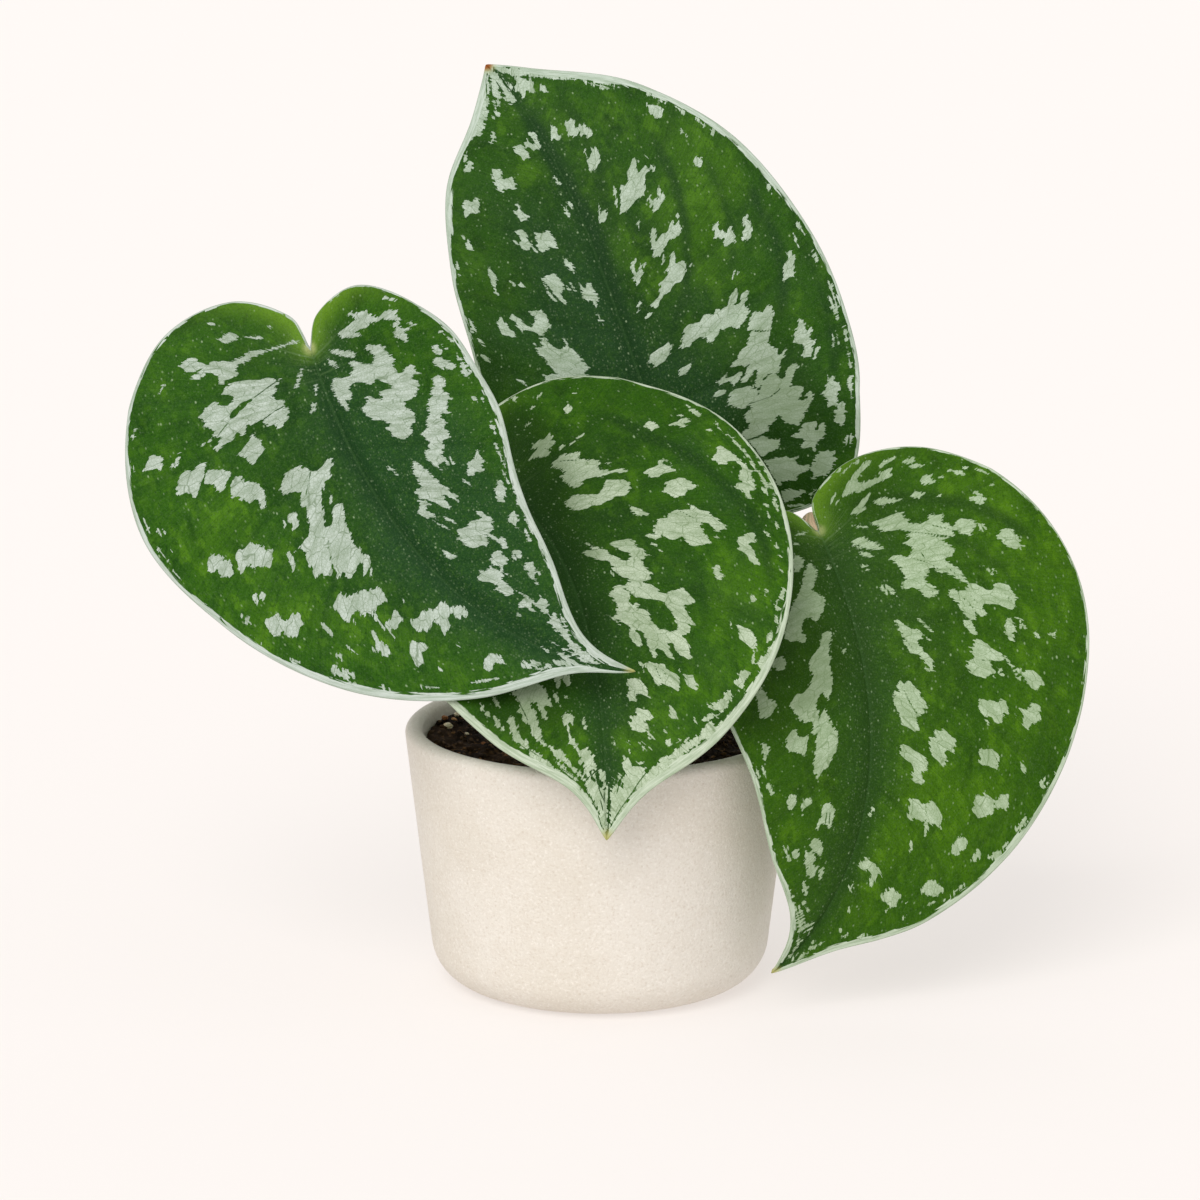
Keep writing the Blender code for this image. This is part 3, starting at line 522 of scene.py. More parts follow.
MIDDLE_PATCHES = (
    (647,772,656,764,664,758,674,752,684,748,684,770,670,778,658,787,645,799,632,812,620,826,612,838,608,838,611,
     828,619,813,629,800,639,786),
    (556,776,566,780,575,785,583,791,590,798,595,808,599,820,602,832,603,838,600,838,594,826,586,814,576,802,566,
     792,556,786),
    (585,783,592,780,597,784,600,790,603,786,605,792,606,802,607,815,607,830,604,834,601,822,596,808,590,795),
    (612,792,616,786,622,788,624,780,628,772,632,768,638,774,644,772,637,786,629,798,619,811,612,824,610,832,610,
     814,611,800),
    (563,410,566,408,569,404,571,409,573,410,571,413,567,414,564,413),
    (532,451,534,447,539,443,545,440,550,435,553,439,551,442,557,443,554,446,550,449,545,450,549,451,550,455,544,
     457,539,459,530,461,533,456,536,453,540,450,536,450),
    (552,469,553,463,558,460,560,456,566,455,567,457,573,454,580,454,580,460,586,461,593,460,599,460,600,463,598,
     466,600,470,605,471,610,472,616,471,620,470,625,471,627,473,622,474,615,474,610,475,606,477,600,477,604,480,
     598,478,590,480,587,480,582,484,583,487,577,490,572,488,568,485,567,482,562,479,561,477,566,475,563,472,558,470),
    (565,503,569,501,573,497,582,497,590,497,598,497,602,494,605,488,607,482,613,482,620,482,627,482,630,485,630,
     488,633,489,630,491,629,495,625,497,616,498,612,501,606,503,602,506,597,507,592,507,588,510,580,511,574,511,
     569,509,567,506),
    (643,427,646,424,649,422,653,421,655,425,659,428,655,429,652,432,648,430,645,429),
    (670,425,673,423,678,422,681,419,685,419,690,420,693,422,687,423,684,424,688,426,684,428,680,427,676,426),
    (645,474,648,471,652,469,656,467,659,465,660,461,663,462,663,464,667,467,670,467,672,470,675,473,670,474,665,
     475,662,476,659,479,655,479,652,479,649,477,648,475),
    (664,490,666,485,670,482,675,481,680,479,685,480,690,482,693,485,697,489,692,491,686,490,687,492,683,496,678,
     497,675,499,671,496,667,494,664,492),
    (628,509,631,506,637,507,641,508,645,511,650,514,648,517,644,515,640,513,643,517,638,515,633,512),
    (655,528,657,522,658,519,663,519,667,518,667,513,672,512,676,509,681,510,686,509,691,509,690,506,694,505,698,
     509,704,510,709,511,711,515,715,518,720,521,723,524,726,528,728,531,722,531,720,533,716,532,713,530,710,526,
     708,524,702,523,701,526,703,532,707,538,711,546,707,545,705,546,700,547,694,548,690,547,687,544,685,541,682,
     538,679,540,675,541,672,542,668,540,664,538,660,535,656,532),
    (644,537,649,535,654,536,659,538,662,540,658,540,656,542,653,540,650,540),
    (585,543,589,544,593,547,596,547,600,550,595,550,590,547,587,546),
    (583,553,587,551,593,551,600,550,605,550,608,553,613,555,617,558,621,560,626,561,632,560,636,563,630,570,618,
     574,614,571,612,567,611,563,606,561,600,561,594,559,588,556),
    (611,544,614,542,620,541,627,540,632,541,636,545,640,549,645,552,648,555,651,557,646,557,643,559,641,561,632,
     562,632,557,629,555,628,553,624,552,620,550,617,548),
    (612,567,614,562,621,560,626,561,632,558,641,560,643,565,647,568,650,571,651,575,650,578,646,579,644,581,646,
     584,650,584,640,590,625,588,629,584,630,581,627,578,622,577,617,574,614,571),
    (617,585,625,586,629,583,644,582,646,584,650,584,654,586,657,589,660,592,664,593,669,592,670,590,676,589,681,
     587,683,586,684,588,688,592,692,597,694,601,693,604,688,604,684,605,672,610,665,603,660,601,655,601,650,600,
     645,600,640,599,637,599,633,596,629,593,624,589,618,586),
    (609,594,613,593,614,589,617,585,622,588,627,592,630,597,628,601,629,604,633,606,628,610,618,606,615,603,612,599),
    (617,610,618,606,624,608,629,607,634,607,637,604,640,607,636,610,642,610,646,611,650,616,652,620,655,625,659,
     630,664,630,667,630,669,632,678,631,684,635,683,637,686,641,689,647,691,653,691,660,688,659,684,656,680,655,
     677,652,675,647,672,643,669,643,669,648,672,653,673,658,668,657,665,653,663,650,660,649,657,647,655,649,657,
     654,657,659,653,658,651,654,650,649,648,645,647,640,645,637,642,633,640,631,637,631,639,636,641,641,642,646,
     639,647,636,646,633,641,630,636,630,631,629,627,625,625,621,621,616,619,612,618,614,616,618,615),
    (663,601,672,596,684,602,686,609,689,614,692,619,694,624,692,627,690,624,688,624,690,630,689,633,684,636,678,
     634,678,628,677,624,676,619,673,615,672,612,668,608,665,604),
    (609,570,612,571,614,573,615,577,612,576,610,573),
    (645,664,650,663,656,664,660,663,665,664,667,668,670,672,675,673,678,677,680,682,680,690,680,694,676,691,672,
     688,668,687,663,685,658,686,655,683,653,679,650,675,648,671,646,667),
    (682,673,686,674,690,674,693,674,695,679,697,684,696,689,692,688,688,687,687,683,685,678),
    (629,680,634,679,640,680,643,684,646,688,648,692,650,699,646,697,642,695,636,696,637,703,633,702,630,702,627,
     699,628,696,628,690,628,684),
    (631,730,630,722,631,716,636,714,637,710,640,709,642,710,648,710,651,713,653,718,650,720,645,721,646,726,645,
     731,641,732,637,731),
    (669,704,672,707,675,712,676,716,678,721,674,719,670,718,670,712),
    (711,569,714,567,717,565,720,567,722,570,721,573,722,577,720,580,716,580,715,575,713,571),
    (737,539,741,538,743,539,746,534,750,534,754,533,756,537,754,541,757,545,752,544,749,546,752,550,754,555,757,
     560,759,566,755,567,751,563,748,558,744,555,740,552,737,551,740,548,737,543),
    (715,450,720,447,725,449,730,452,733,455,738,459,742,462,747,466,750,470,754,472,750,475,752,480,755,485,756,
     489,750,493,752,500,748,499,745,495,740,491,736,488,738,484,741,485,741,479,740,473,741,468,736,464,730,462,
     727,467,722,466,718,467,714,462,712,456,717,457),
    (760,487,765,489,768,494,768,498,763,494),
    (765,510,768,512,771,518,769,520,766,515),
    (780,590,784,588,786,592,784,597,782,602,780,608,778,610,780,600),
    (749,593,753,595,756,600,755,603,751,602,750,598),
    (736,623,740,625,745,628,750,629,753,632,755,637,756,643,755,650,752,648,748,645,744,642,741,640,740,635,739,631),
    (766,638,769,634,772,630,773,635,771,640,768,645,766,642),
    (760,658,763,655,767,654,769,648,774,641,778,640,774,652,770,662,766,672,760,684,752,690,756,680,760,668,758,664),
    (735,682,738,678,739,672,743,670,747,671,750,672,748,677,745,683,742,688,739,687,735,684),
    (731,690,732,696,729,703,727,708,722,712,716,712,711,710,707,708,708,704,713,705,717,702,721,700,724,696,728,688),
    (702,722,706,718,709,715,713,713,713,718,709,721),
    (510,690,520,687,530,685,537,684,543,688,546,694,549,700,552,708,547,707,543,707,546,714,548,720,544,722,541,
     715,539,708,536,705,530,703,532,709,536,715,538,722,539,728,541,734,543,741,545,745,541,744,537,742,534,736,
     531,730,527,724,523,720,520,714,516,711,520,710,519,703,515,697),
    (554,677,558,676,562,676,568,676,569,682,570,688,566,686,563,680,560,681,559,686,558,691,556,684),
    (553,693,556,697,559,703,562,710,558,706,555,700),
    (562,717,565,714,570,715,574,719,573,725,575,728,571,724,569,723,570,730,571,735,575,740,577,745,580,750,583,
     757,580,758,577,752,573,746,570,743,568,745,569,740,568,735,567,730,565,725),
    (580,751,584,749,587,748,590,752,594,757,596,763,598,768,596,772,592,770,589,772,591,777,587,777,583,772,585,
     767,582,762,581,757),
    (547,746,551,744,555,748,561,749,565,752,567,757,570,761,572,765,569,767,565,763,560,762,556,758,552,753),
    (507,719,511,717,514,719,516,724,518,728,516,731,519,734,523,738,527,744,529,749,524,748,520,746,515,744,513,
     740,512,735,509,731,510,726),
    (528,750,534,752,541,755,548,760,552,766,560,772,568,778,575,784,566,782,556,776,545,768,537,762,531,756),
    (585,783,590,779,595,783,600,788,605,790,607,784,609,783,608,800,607,825,603,830,600,820,597,808,593,800,588,792),
    (598,768,602,771,606,776,605,782,603,784,600,778),
    (612,785,620,789,625,785,626,775,623,768,622,763,627,760,629,765,633,768,640,766,647,768,645,775,641,785,637,
     790,630,797,625,805,620,815,612,828,610,815,611,800),
    (666,745,668,739,671,738,672,744,669,746),
    (664,762,668,756,676,750,684,745,690,741,697,739,704,735,700,744,690,750,680,756,672,762,660,772),
    (690,745,694,738,700,735,706,730,712,726,716,728,722,722,728,716,734,712,738,708,742,702,748,696,744,706,738,
     716,730,724,720,732,708,740),
)
MIDDLE_STREAKS = (
    (527,427,531,424,2.5),
    (530,410,536,407,1.5),
    (575,438,583,436,1.5),
    (569,444,575,442,1.5),
    (560,448,564,445,2.5),
    (572,395,578,394,1.6),
    (537,399,541,395,1.4),
    (513,400,518,397,1.3),
    (605,463,612,463,1.6),
    (664,462,672,465,1.4),
    (678,416,684,416,1.5),
    (687,503,693,507,1.6),
    (715,537,718,539,3.0),
    (653,531,662,539,1.5),
    (653,545,658,549,1.2),
    (658,550,664,555,1.2),
    (607,616,616,619,1.2),
    (612,619,622,626,1.2),
    (641,663,643,668,1.6),
    (643,669,645,675,1.6),
    (646,722,650,736,1.6),
    (647,737,651,740,1.4),
    (690,618,694,627,1.6),
    (679,668,680,672,1.2),
    (751,463,761,476,3.2),
    (761,476,769,490,2.8),
    (732,440,742,450,3.0),
    (742,450,752,461,2.2),
    (755,456,764,468,1.8),
    (764,468,771,482,1.8),
    (768,482,776,500,1.8),
    (770,492,778,512,1.2),
    (765,505,768,508,1.5),
    (776,522,778,532,1.3),
    (763,530,766,533,1.6),
    (766,526,769,530,1.2),
    (766,533,771,541,3.0),
    (776,543,777,550,1.5),
    (779,557,782,558,1.6),
    (780,558,782,562,1.4),
    (780,568,782,574,1.5),
    (774,600,776,606,1.6),
    (777,600,776,628,1.5),
    (764,594,767,599,2.5),
    (748,645,755,650,1.6),
    (754,652,753,665,1.8),
    (750,661,755,664,1.6),
    (715,712,717,718,1.6),
    (699,735,714,724,2.6),
    (710,736,715,730,1.6),
    (735,697,739,690,2.0),
    (730,622,732,628,1.2),
    (686,405,700,415,1.3),
    (690,410,700,417,1.2),
    (706,430,715,434,1.6),
    (715,420,719,430,1.2),
    (717,428,731,438,1.2),
    (743,449,747,455,1.2),
    (583,719,586,729,2.2),
    (494,717,500,727,3.0),
    (500,727,504,731,1.6),
    (496,725,499,729,1.4),
    (486,712,490,718,1.3),
    (480,703,484,712,1.6),
    (492,695,500,708,2.0),
    (557,762,566,772,2.0),
    (566,772,578,781,2.2),
    (572,768,583,778,3.0),
    (560,764,566,768,1.4),
    (579,760,582,765,1.6),
    (592,772,596,780,2.0),
    (585,780,592,790,2.6),
    (620,775,617,785,1.6),
    (614,778,616,782,1.6),
    (623,780,620,788,1.4),
    (628,758,630,764,1.6),
    (636,762,640,766,2.0),
    (638,764,645,762,1.6),
    (638,743,643,743,2.0),
    (643,743,645,747,2.0),
    (645,747,643,751,2.0),
    (641,748,643,750,1.6),
    (665,731,666,736,2.0),
    (694,718,696,725,2.0),
    (610,697,612,701,1.6),
    (564,697,568,700,2.0),
    (650,748,651,752,1.4),
    (629,748,630,755,1.5),
    (624,756,626,760,1.4),
    (614,740,615,745,1.2),
    (628,740,630,743,1.4),
    (605,782,604,788,1.6),
    (676,744,682,740,1.6),
    (684,743,690,738,1.6),
    (680,747,686,744,1.6),
    (707,726,712,722,1.6),
    (719,716,722,712,1.4),
    (766,590,768,592,1.2),
    (652,735,653,739,1.2),
    (594,790,600,800,2.2),
    (618,800,612,812,2.0),
)
MIDDLE_CRACKS = (
    (648,771,640,781,1.2),
    (640,781,631,795,1.1),
    (631,795,621,809,1.0),
    (621,809,613,822,0.9),
    (613,822,609,832,0.7),
    (655,763,648,771,1.3),
    (576,784,585,791,1.2),
    (585,791,592,800,1.1),
    (592,800,597,813,1.0),
    (597,813,602,829,0.7),
    (609,784,609,802,2.2),
    (609,802,609,816,1.5),
    (609,816,608,830,0.8),
    (604,792,604,804,1.0),
    (599,790,603,800,0.9),
    (619,786,617,794,1.1),
    (663,601,673,614,1.0),
    (680,511,700,522,0.9),
    (700,522,706,533,0.9),
    (624,588,637,599,0.9),
    (630,604,640,608,0.8),
    (560,463,578,462,0.7),
    (655,666,661,680,0.9),
    (662,668,668,680,0.8),
    (516,697,528,722,0.7),
    (598,787,603,800,0.8),
    (600,800,603,812,0.7),
    (550,762,580,780,1.3),
    (505,738,550,762,1.3),
)
RIGHT_PATCHES = (
    (849,480,852,477,857,470,862,464,868,460,872,459,869,465,864,470,859,475,856,479,861,482,868,480,876,478,880,
     475,879,472,884,470,890,467,892,469,889,472,893,475,889,477,884,479,878,482,872,485,866,488,862,491,855,492,
     849,494,845,497,842,496,844,491,846,486),
    (878,466,883,461,889,458,893,456,896,457,891,461,886,464,881,467),
    (900,463,904,460,909,458,914,458,913,461,917,461,909,463),
    (910,466,914,464,920,464,924,466,918,468,912,469),
    (946,471,951,470,957,470,962,472,967,475,963,477,957,475,951,473),
    (920,480,923,476,929,475,933,476,930,479,934,481,938,483,932,484,925,485,921,483),
    (911,497,914,493,920,493,925,494,921,497,919,500,914,498),
    (966,499,969,497,974,496,977,497,973,493,974,491,979,492,983,496,985,499,988,501,982,501,984,504,980,505,975,
     503,970,501),
    (851,513,854,508,858,505,862,499,866,495,871,491,869,497,866,503,864,507,868,508,862,512,856,514),
    (873,501,878,499,885,498,890,499,898,500,904,500,897,502,893,505,888,503,884,506,878,504),
    (870,524,875,522,881,520,886,518,892,515,897,513,902,512,904,515,905,518,909,520,911,523,916,523,921,523,926,
     521,929,519,928,516,930,514,936,515,942,514,943,518,941,521,944,523,949,525,952,528,957,522,960,519,965,520,
     972,521,976,524,975,528,972,532,970,537,964,535,958,533,953,531,955,534,953,537,947,539,943,540,945,543,950,
     546,955,552,953,556,950,557,945,558,948,562,953,565,960,570,961,574,965,579,968,583,964,583,959,580,955,578,
     950,575,945,572,941,574,936,571,931,567,930,571,928,575,924,579,928,583,932,586,938,592,936,595,933,596,937,
     599,931,597,929,599,924,597,920,592,917,589,911,586,908,583,906,579,903,574,900,568,896,564,889,560,894,556,
     901,556,907,558,911,554,912,551,911,547,904,544,909,541,911,538,906,537,908,534,912,532,905,531,898,529,892,
     531,884,532,878,531,878,527,873,525),
    (900,582,906,581,912,584,911,588,906,589,902,586),
    (853,541,857,539,863,537,867,539,869,542,873,541,879,546,884,550,878,550,871,550,865,549,858,546,852,543),
    (857,551,862,552,868,554,874,557,870,558,864,556),
    (997,536,1000,532,1005,529,1010,530,1014,534,1017,538,1021,542,1019,546,1017,550,1012,549,1006,546,1002,543,999,
     540),
    (967,583,970,584,975,584,981,587,988,591,993,589,994,585,995,583,1001,583,1008,585,1010,589,1013,592,1016,596,
     1017,599,1014,601,1015,607,1013,610,1008,609,1004,607,999,605,992,604,984,605,983,608,988,613,984,616,981,617,
     977,613,974,611,975,616,976,620,971,620,967,617,962,612,960,609,957,603,953,599,949,595,950,590,954,589,957,
     593,961,591,967,591,967,587),
    (962,622,966,620,971,621,974,624,976,629,978,633,975,635,971,633,967,629,963,625),
    (973,641,976,639,981,640,986,643,991,648,996,651,1001,653,1003,657,1002,661,997,662,992,661,991,664,993,668,995,
     673,991,674,988,675,984,677,979,676,974,675,970,672,967,667,966,662,968,660,974,659,973,655,971,651,970,646,
     974,646),
    (1004,626,1005,622,1008,617,1011,618,1013,622,1016,628,1016,632,1013,633,1015,641,1010,641,1008,636,1005,631),
    (1025,671,1029,671,1033,670,1037,674,1041,678,1045,684,1040,688,1036,690,1031,688,1029,684,1027,680,1024,676),
    (894,620,898,619,903,622,909,627,915,630,920,634,923,639,918,641,920,646,923,651,929,656,933,660,934,665,935,
     671,931,670,927,666,923,661,920,655,915,654,911,653,908,648,905,642,902,636,898,628),
    (893,691,895,690,897,692,900,691,898,686,898,681,901,680,904,684,907,680,911,681,915,686,919,691,922,697,926,
     702,929,708,926,709,922,708,922,713,918,713,921,720,917,717,914,711,912,708,915,715,918,722,919,732,914,732,
     910,729,906,727,903,726,900,721,898,715,896,709,894,703,894,697),
    (928,739,932,737,935,738,934,734,936,730,940,731,943,729,947,732,951,737,955,739,955,744,957,747,953,748,953,
     753,949,751,945,751,944,753,947,759,948,763,945,760,944,764,946,769,942,767,938,762,935,759,931,756,930,750,
     929,745),
    (899,750,901,746,904,745,909,747,914,751,920,754,925,757,926,762,928,771,923,770,922,773,923,780,921,784,918,
     784,914,782,911,778,912,773,912,768,910,763,905,760,901,756),
    (978,702,982,699,987,700,990,700,997,702,1001,699,1006,701,1009,708,1008,714,1003,714,1003,722,999,723,995,723,
     993,718,989,716,985,716,981,712,979,708),
    (1030,703,1034,704,1039,705,1040,711,1041,719,1040,723,1035,723,1031,726,1029,730,1025,728,1023,724,1022,719,
     1022,713,1018,708,1018,705,1022,708,1026,709,1030,707),
    (979,752,984,748,988,749,992,748,994,751,998,753,1000,758,999,764,997,770,994,768,990,766,986,767,982,765,978,
     762,980,757),
    (976,793,979,795,985,794,989,796,993,799,995,800,999,796,1002,794,1009,794,1008,800,1008,806,1006,810,1000,809,
     996,809,993,810,989,815,983,816,978,818,975,814,972,811,974,806,975,801),
    (908,797,913,798,918,799,921,803,926,803,929,801,933,802,937,807,940,812,943,818,941,824,938,827,934,825,929,
     823,926,820,921,821,917,819,912,820,908,818,908,810,909,803),
    (950,852,952,848,954,844,955,839,959,836,963,837,967,840,967,845,966,851,961,852,956,854),
    (972,856,975,851,979,849,981,852,979,857,976,862,974,861),
    (858,866,859,862,862,859,866,858,870,862,875,865,877,869,876,875,875,880,872,887,869,885,869,879,870,873,867,
     870,862,870),
    (880,896,883,892,886,890,889,887,893,888,896,891,901,894,900,899,897,902,895,905,889,906,886,903,882,900),
    (920,890,923,886,928,882,934,881,940,884,944,889,942,893,938,896,932,896,926,894,921,893),
    (849,888,850,884,853,882,854,885,852,890,850,892),
    (822,634,827,631,832,632,831,638,829,645,828,653,830,659,828,666,829,672,831,678,832,686,830,694,828,701,824,
     696,821,693,818,698,816,704,818,710,820,716,819,722,818,729,816,735,812,733,814,726,812,722,806,722,801,720,
     797,715,792,709,790,704,793,698,797,694,803,693,808,687,811,682,813,676,811,672,808,667,810,660,813,655,818,
     648,820,641),
    (825,708,828,713,831,723,835,729,838,736,837,744,835,752,831,760,828,768,823,769,819,774,817,781,816,775,812,
     770,812,765,814,757,815,748,816,738,818,728,820,718,822,712),
    (790,733,793,729,798,731,800,735,804,736,809,735,808,742,806,751,804,758,800,754,796,753,790,752,787,746,786,740),
    (761,743,767,744,768,748,772,749,769,752,767,755,765,762,762,755,762,749),
    (753,690,760,688,766,693,768,700,774,701,777,705,773,711,770,716,766,718,760,718,759,711,757,704),
    (806,565,811,563,816,570,816,578,814,586,812,592,819,595,825,600,824,606,822,613,816,622,811,619,806,618,801,
     625,801,631,807,636,806,642,802,642,798,640,793,642,788,640,784,637,786,626,788,615,792,606,796,598,799,591,
     802,582,804,573),
    (792,556,799,556,804,561,803,567,798,573,793,573,790,566),
    (776,658,783,655,786,662,785,669,780,671,774,668,770,664),
    (788,795,791,793,796,796,797,802,795,807,792,811,789,808,787,802),
    (802,796,805,800,808,797,811,800,810,805,806,807,803,810,803,816,801,815,802,806,803,801),
    (821,812,822,806,825,803,829,803,833,806,836,808,834,814,832,822,829,827,824,825,820,824,817,831,815,829,818,821),
    (810,841,813,838,818,838,822,842,822,848,820,855,815,852,812,852,814,858,813,864,818,867,815,872,813,878,809,
     877,806,872,807,866,804,862,803,854,805,849,809,852,811,849,809,845),
    (801,884,803,879,806,884,808,890,806,896,803,893),
    (792,852,795,848,798,849,798,856,796,860,793,856),
    (801,900,804,900,805,906,802,905),
    (819,870,822,867,824,870,822,876,820,880,818,876),
)
RIGHT_STREAKS = (
    (836,472,842,467,1.4),
    (841,474,850,465,1.4),
    (851,463,859,461,1.2),
    (831,504,834,496,2.2),
    (834,497,836,494,1.6),
    (836,505,839,500,1.6),
    (843,497,846,494,1.4),
    (857,527,867,528,2.0),
    (855,526,859,529,1.6),
    (854,546,862,549,1.4),
    (862,565,868,571,2.4),
    (866,564,867,568,1.4),
    (881,586,888,596,2.6),
    (884,584,896,596,2.6),
    (889,590,891,595,2.0),
    (892,592,897,597,1.4),
    (828,565,828,570,1.6),
    (962,467,968,469,1.6),
    (976,469,990,475,2.2),
    (938,478,944,478,1.2),
    (990,485,994,486,2.4),
    (938,496,941,496,2.0),
    (976,523,987,530,2.4),
    (978,528,984,532,1.4),
    (984,566,993,575,2.2),
    (991,568,998,573,1.8),
    (1018,542,1024,548,1.6),
    (1018,547,1021,551,1.4),
    (1013,616,1022,621,1.4),
    (1020,621,1025,628,2.0),
    (1022,624,1020,629,1.4),
    (1036,633,1040,639,3.0),
    (1050,633,1056,638,3.4),
    (1052,634,1057,632,1.4),
    (918,618,932,632,1.2),
    (925,636,930,641,1.6),
    (916,629,924,636,2.0),
    (926,668,930,672,1.6),
    (1004,656,1010,664,2.0),
    (1010,664,1018,670,1.8),
    (1012,668,1019,683,2.0),
    (1018,668,1020,680,1.4),
    (1020,668,1027,683,2.0),
    (1001,668,1003,675,1.4),
    (997,667,1001,676,1.6),
    (992,674,994,677,1.6),
    (984,716,988,726,1.6),
    (988,720,991,729,1.6),
    (1014,711,1017,719,1.4),
    (945,757,948,763,1.4),
    (951,746,953,753,1.4),
    (927,820,925,838,3.4),
    (940,824,941,830,1.6),
    (911,841,910,852,3.0),
    (878,868,882,875,2.4),
    (970,861,975,855,1.8),
    (904,904,907,901,1.8),
    (848,912,849,908,1.8),
    (839,930,841,930,2.2),
    (903,918,907,914,1.6),
    (1023,762,1024,771,3.4),
    (1040,786,1046,777,3.0),
    (1046,786,1052,778,1.8),
    (1040,790,1048,783,1.4),
    (1054,776,1056,773,1.4),
    (1016,830,1026,817,4.0),
    (1020,830,1030,818,2.4),
    (988,858,1000,852,3.0),
    (992,861,1003,850,2.4),
    (1002,848,1008,842,1.4),
    (945,900,964,884,1.4),
    (940,903,950,896,1.2),
    (924,906,935,901,1.2),
    (869,816,873,808,1.2),
    (888,908,885,912,1.0),
    (767,784,770,792,2.4),
    (770,786,772,795,1.6),
    (761,765,766,779,1.4),
    (755,768,759,778,1.2),
    (787,845,788,850,1.6),
    (807,836,808,838,1.6),
    (806,908,808,911,1.8),
    (802,918,805,925,2.0),
    (806,923,808,928,1.6),
    (811,921,807,935,2.0),
    (800,910,801,922,2.4),
    (797,915,802,932,2.4),
    (808,948,815,946,2.2),
    (818,944,824,941,1.4),
    (802,954,808,952,1.4),
    (842,937,847,934,1.4),
    (856,938,862,936,1.4),
    (858,937,868,935,1.4),
    (798,905,799,912,1.2),
    (799,940,802,938,1.4),
    (811,942,815,940,1.4),
    (790,862,783,845,1.2),
    (786,886,792,896,1.6),
    (792,902,797,914,2.0),
    (796,914,800,932,2.2),
    (798,930,796,948,2.2),
    (794,948,788,958,2.2),
    (798,952,792,960,2.0),
    (803,953,796,961,1.6),
    (960,846,962,851,1.0),
    (790,545,798,545,2.6),
    (795,536,805,533,1.2),
    (844,649,842,655,1.2),
)
RIGHT_CRACKS = (
    (910,532,952,537,1.2),
    (930,537,955,538,0.9),
    (911,558,932,565,1.3),
    (932,565,944,572,1.3),
    (920,553,928,562,0.8),
    (957,593,978,614,1.1),
    (966,592,985,612,0.7),
    (975,660,1003,661,1.3),
    (990,662,997,668,0.9),
    (900,683,913,708,1.1),
    (913,708,921,720,1.0),
    (906,697,916,714,0.9),
    (997,754,996,768,0.9),
    (926,803,926,820,1.0),
    (994,799,994,810,1.0),
    (930,590,936,596,0.7),
    (826,812,824,824,0.9),
    (829,812,828,824,0.7),
    (905,640,910,645,1.0),
    (909,645,914,650,1.0),
    (945,565,962,580,1.0),
    (930,525,950,530,0.6),
    (1000,590,1012,602,0.6),
)

MARKS = {
    "leaf_left": (LEFT_PATCHES, LEFT_STREAKS, LEFT_CRACKS),
    "leaf_top": (TOP_PATCHES, TOP_STREAKS, TOP_CRACKS),
    "leaf_middle": (MIDDLE_PATCHES, MIDDLE_STREAKS, MIDDLE_CRACKS),
    "leaf_right": (RIGHT_PATCHES, RIGHT_STREAKS, RIGHT_CRACKS),
}
# Width of the pale margin: (x, y, width) in the same frame.
BANDS = {
    "leaf_left": (
        (190, 318, 2.5), (150, 350, 3), (127, 400, 3.5), (127, 440, 4), (133, 490, 5.5), (150, 545, 5.5),
        (190, 590, 4), (200, 600, 7), (215, 612, 8), (230, 625, 5), (280, 655, 5), (290, 660, 8), (345, 683, 8),
        (400, 690, 7), (480, 690, 8), (500, 683, 9), (555, 672, 10), (600, 672, 9), (250, 300, 2), (330, 290, 2),
        (405, 300, 2), (430, 318, 4), (450, 335, 5), (470, 358, 6), (485, 385, 7), (497, 410, 7.5),
        (530, 500, 8), (560, 600, 8), (590, 650, 8), (634, 671, 7)),
    "leaf_top": (
        (457, 100, 9), (470, 115, 10), (460, 130, 12), (460, 140, 7), (455, 180, 7), (450, 220, 8), (455, 250, 5),
        (460, 300, 4.5), (470, 330, 4.5), (500, 370, 5), (500, 68, 4), (550, 75, 9), (600, 80, 10), (650, 92, 6.5),
        (700, 115, 6.5), (765, 173, 8), (790, 200, 5), (820, 250, 4), (845, 310, 4), (858, 400, 5), (855, 450, 5),
        (820, 500, 4), (785, 515, 4)),
    "leaf_middle": (
        (500, 420, 3), (540, 395, 3), (600, 380, 3), (650, 390, 3), (700, 412, 3), (750, 450, 3.5), (780, 500, 4.5),
        (790, 545, 5.5), (793, 570, 5.5), (792, 600, 6.5), (785, 640, 7), (765, 690, 9), (740, 725, 10),
        (700, 755, 11), (660, 785, 10), (640, 800, 9), (615, 825, 6), (478, 725, 9), (500, 745, 10),
        (530, 765, 10), (560, 785, 10), (585, 815, 8), (600, 835, 5)),
    "leaf_right": (
        (820, 480, 1.0), (850, 460, 1.5), (900, 450, 2), (950, 455, 3), (1000, 475, 3.5), (1040, 520, 3),
        (1065, 560, 2.5), (1075, 600, 3), (1080, 700, 4), (1060, 770, 5), (1048, 790, 6), (1030, 820, 7),
        (1000, 855, 7), (960, 895, 7), (920, 920, 6), (880, 940, 6), (840, 950, 7), (800, 960, 6), (775, 968, 5),
        (745, 740, 5), (755, 775, 6), (768, 820, 5), (778, 870, 5), (788, 900, 5.5), (795, 930, 7), (790, 955, 6)),
}
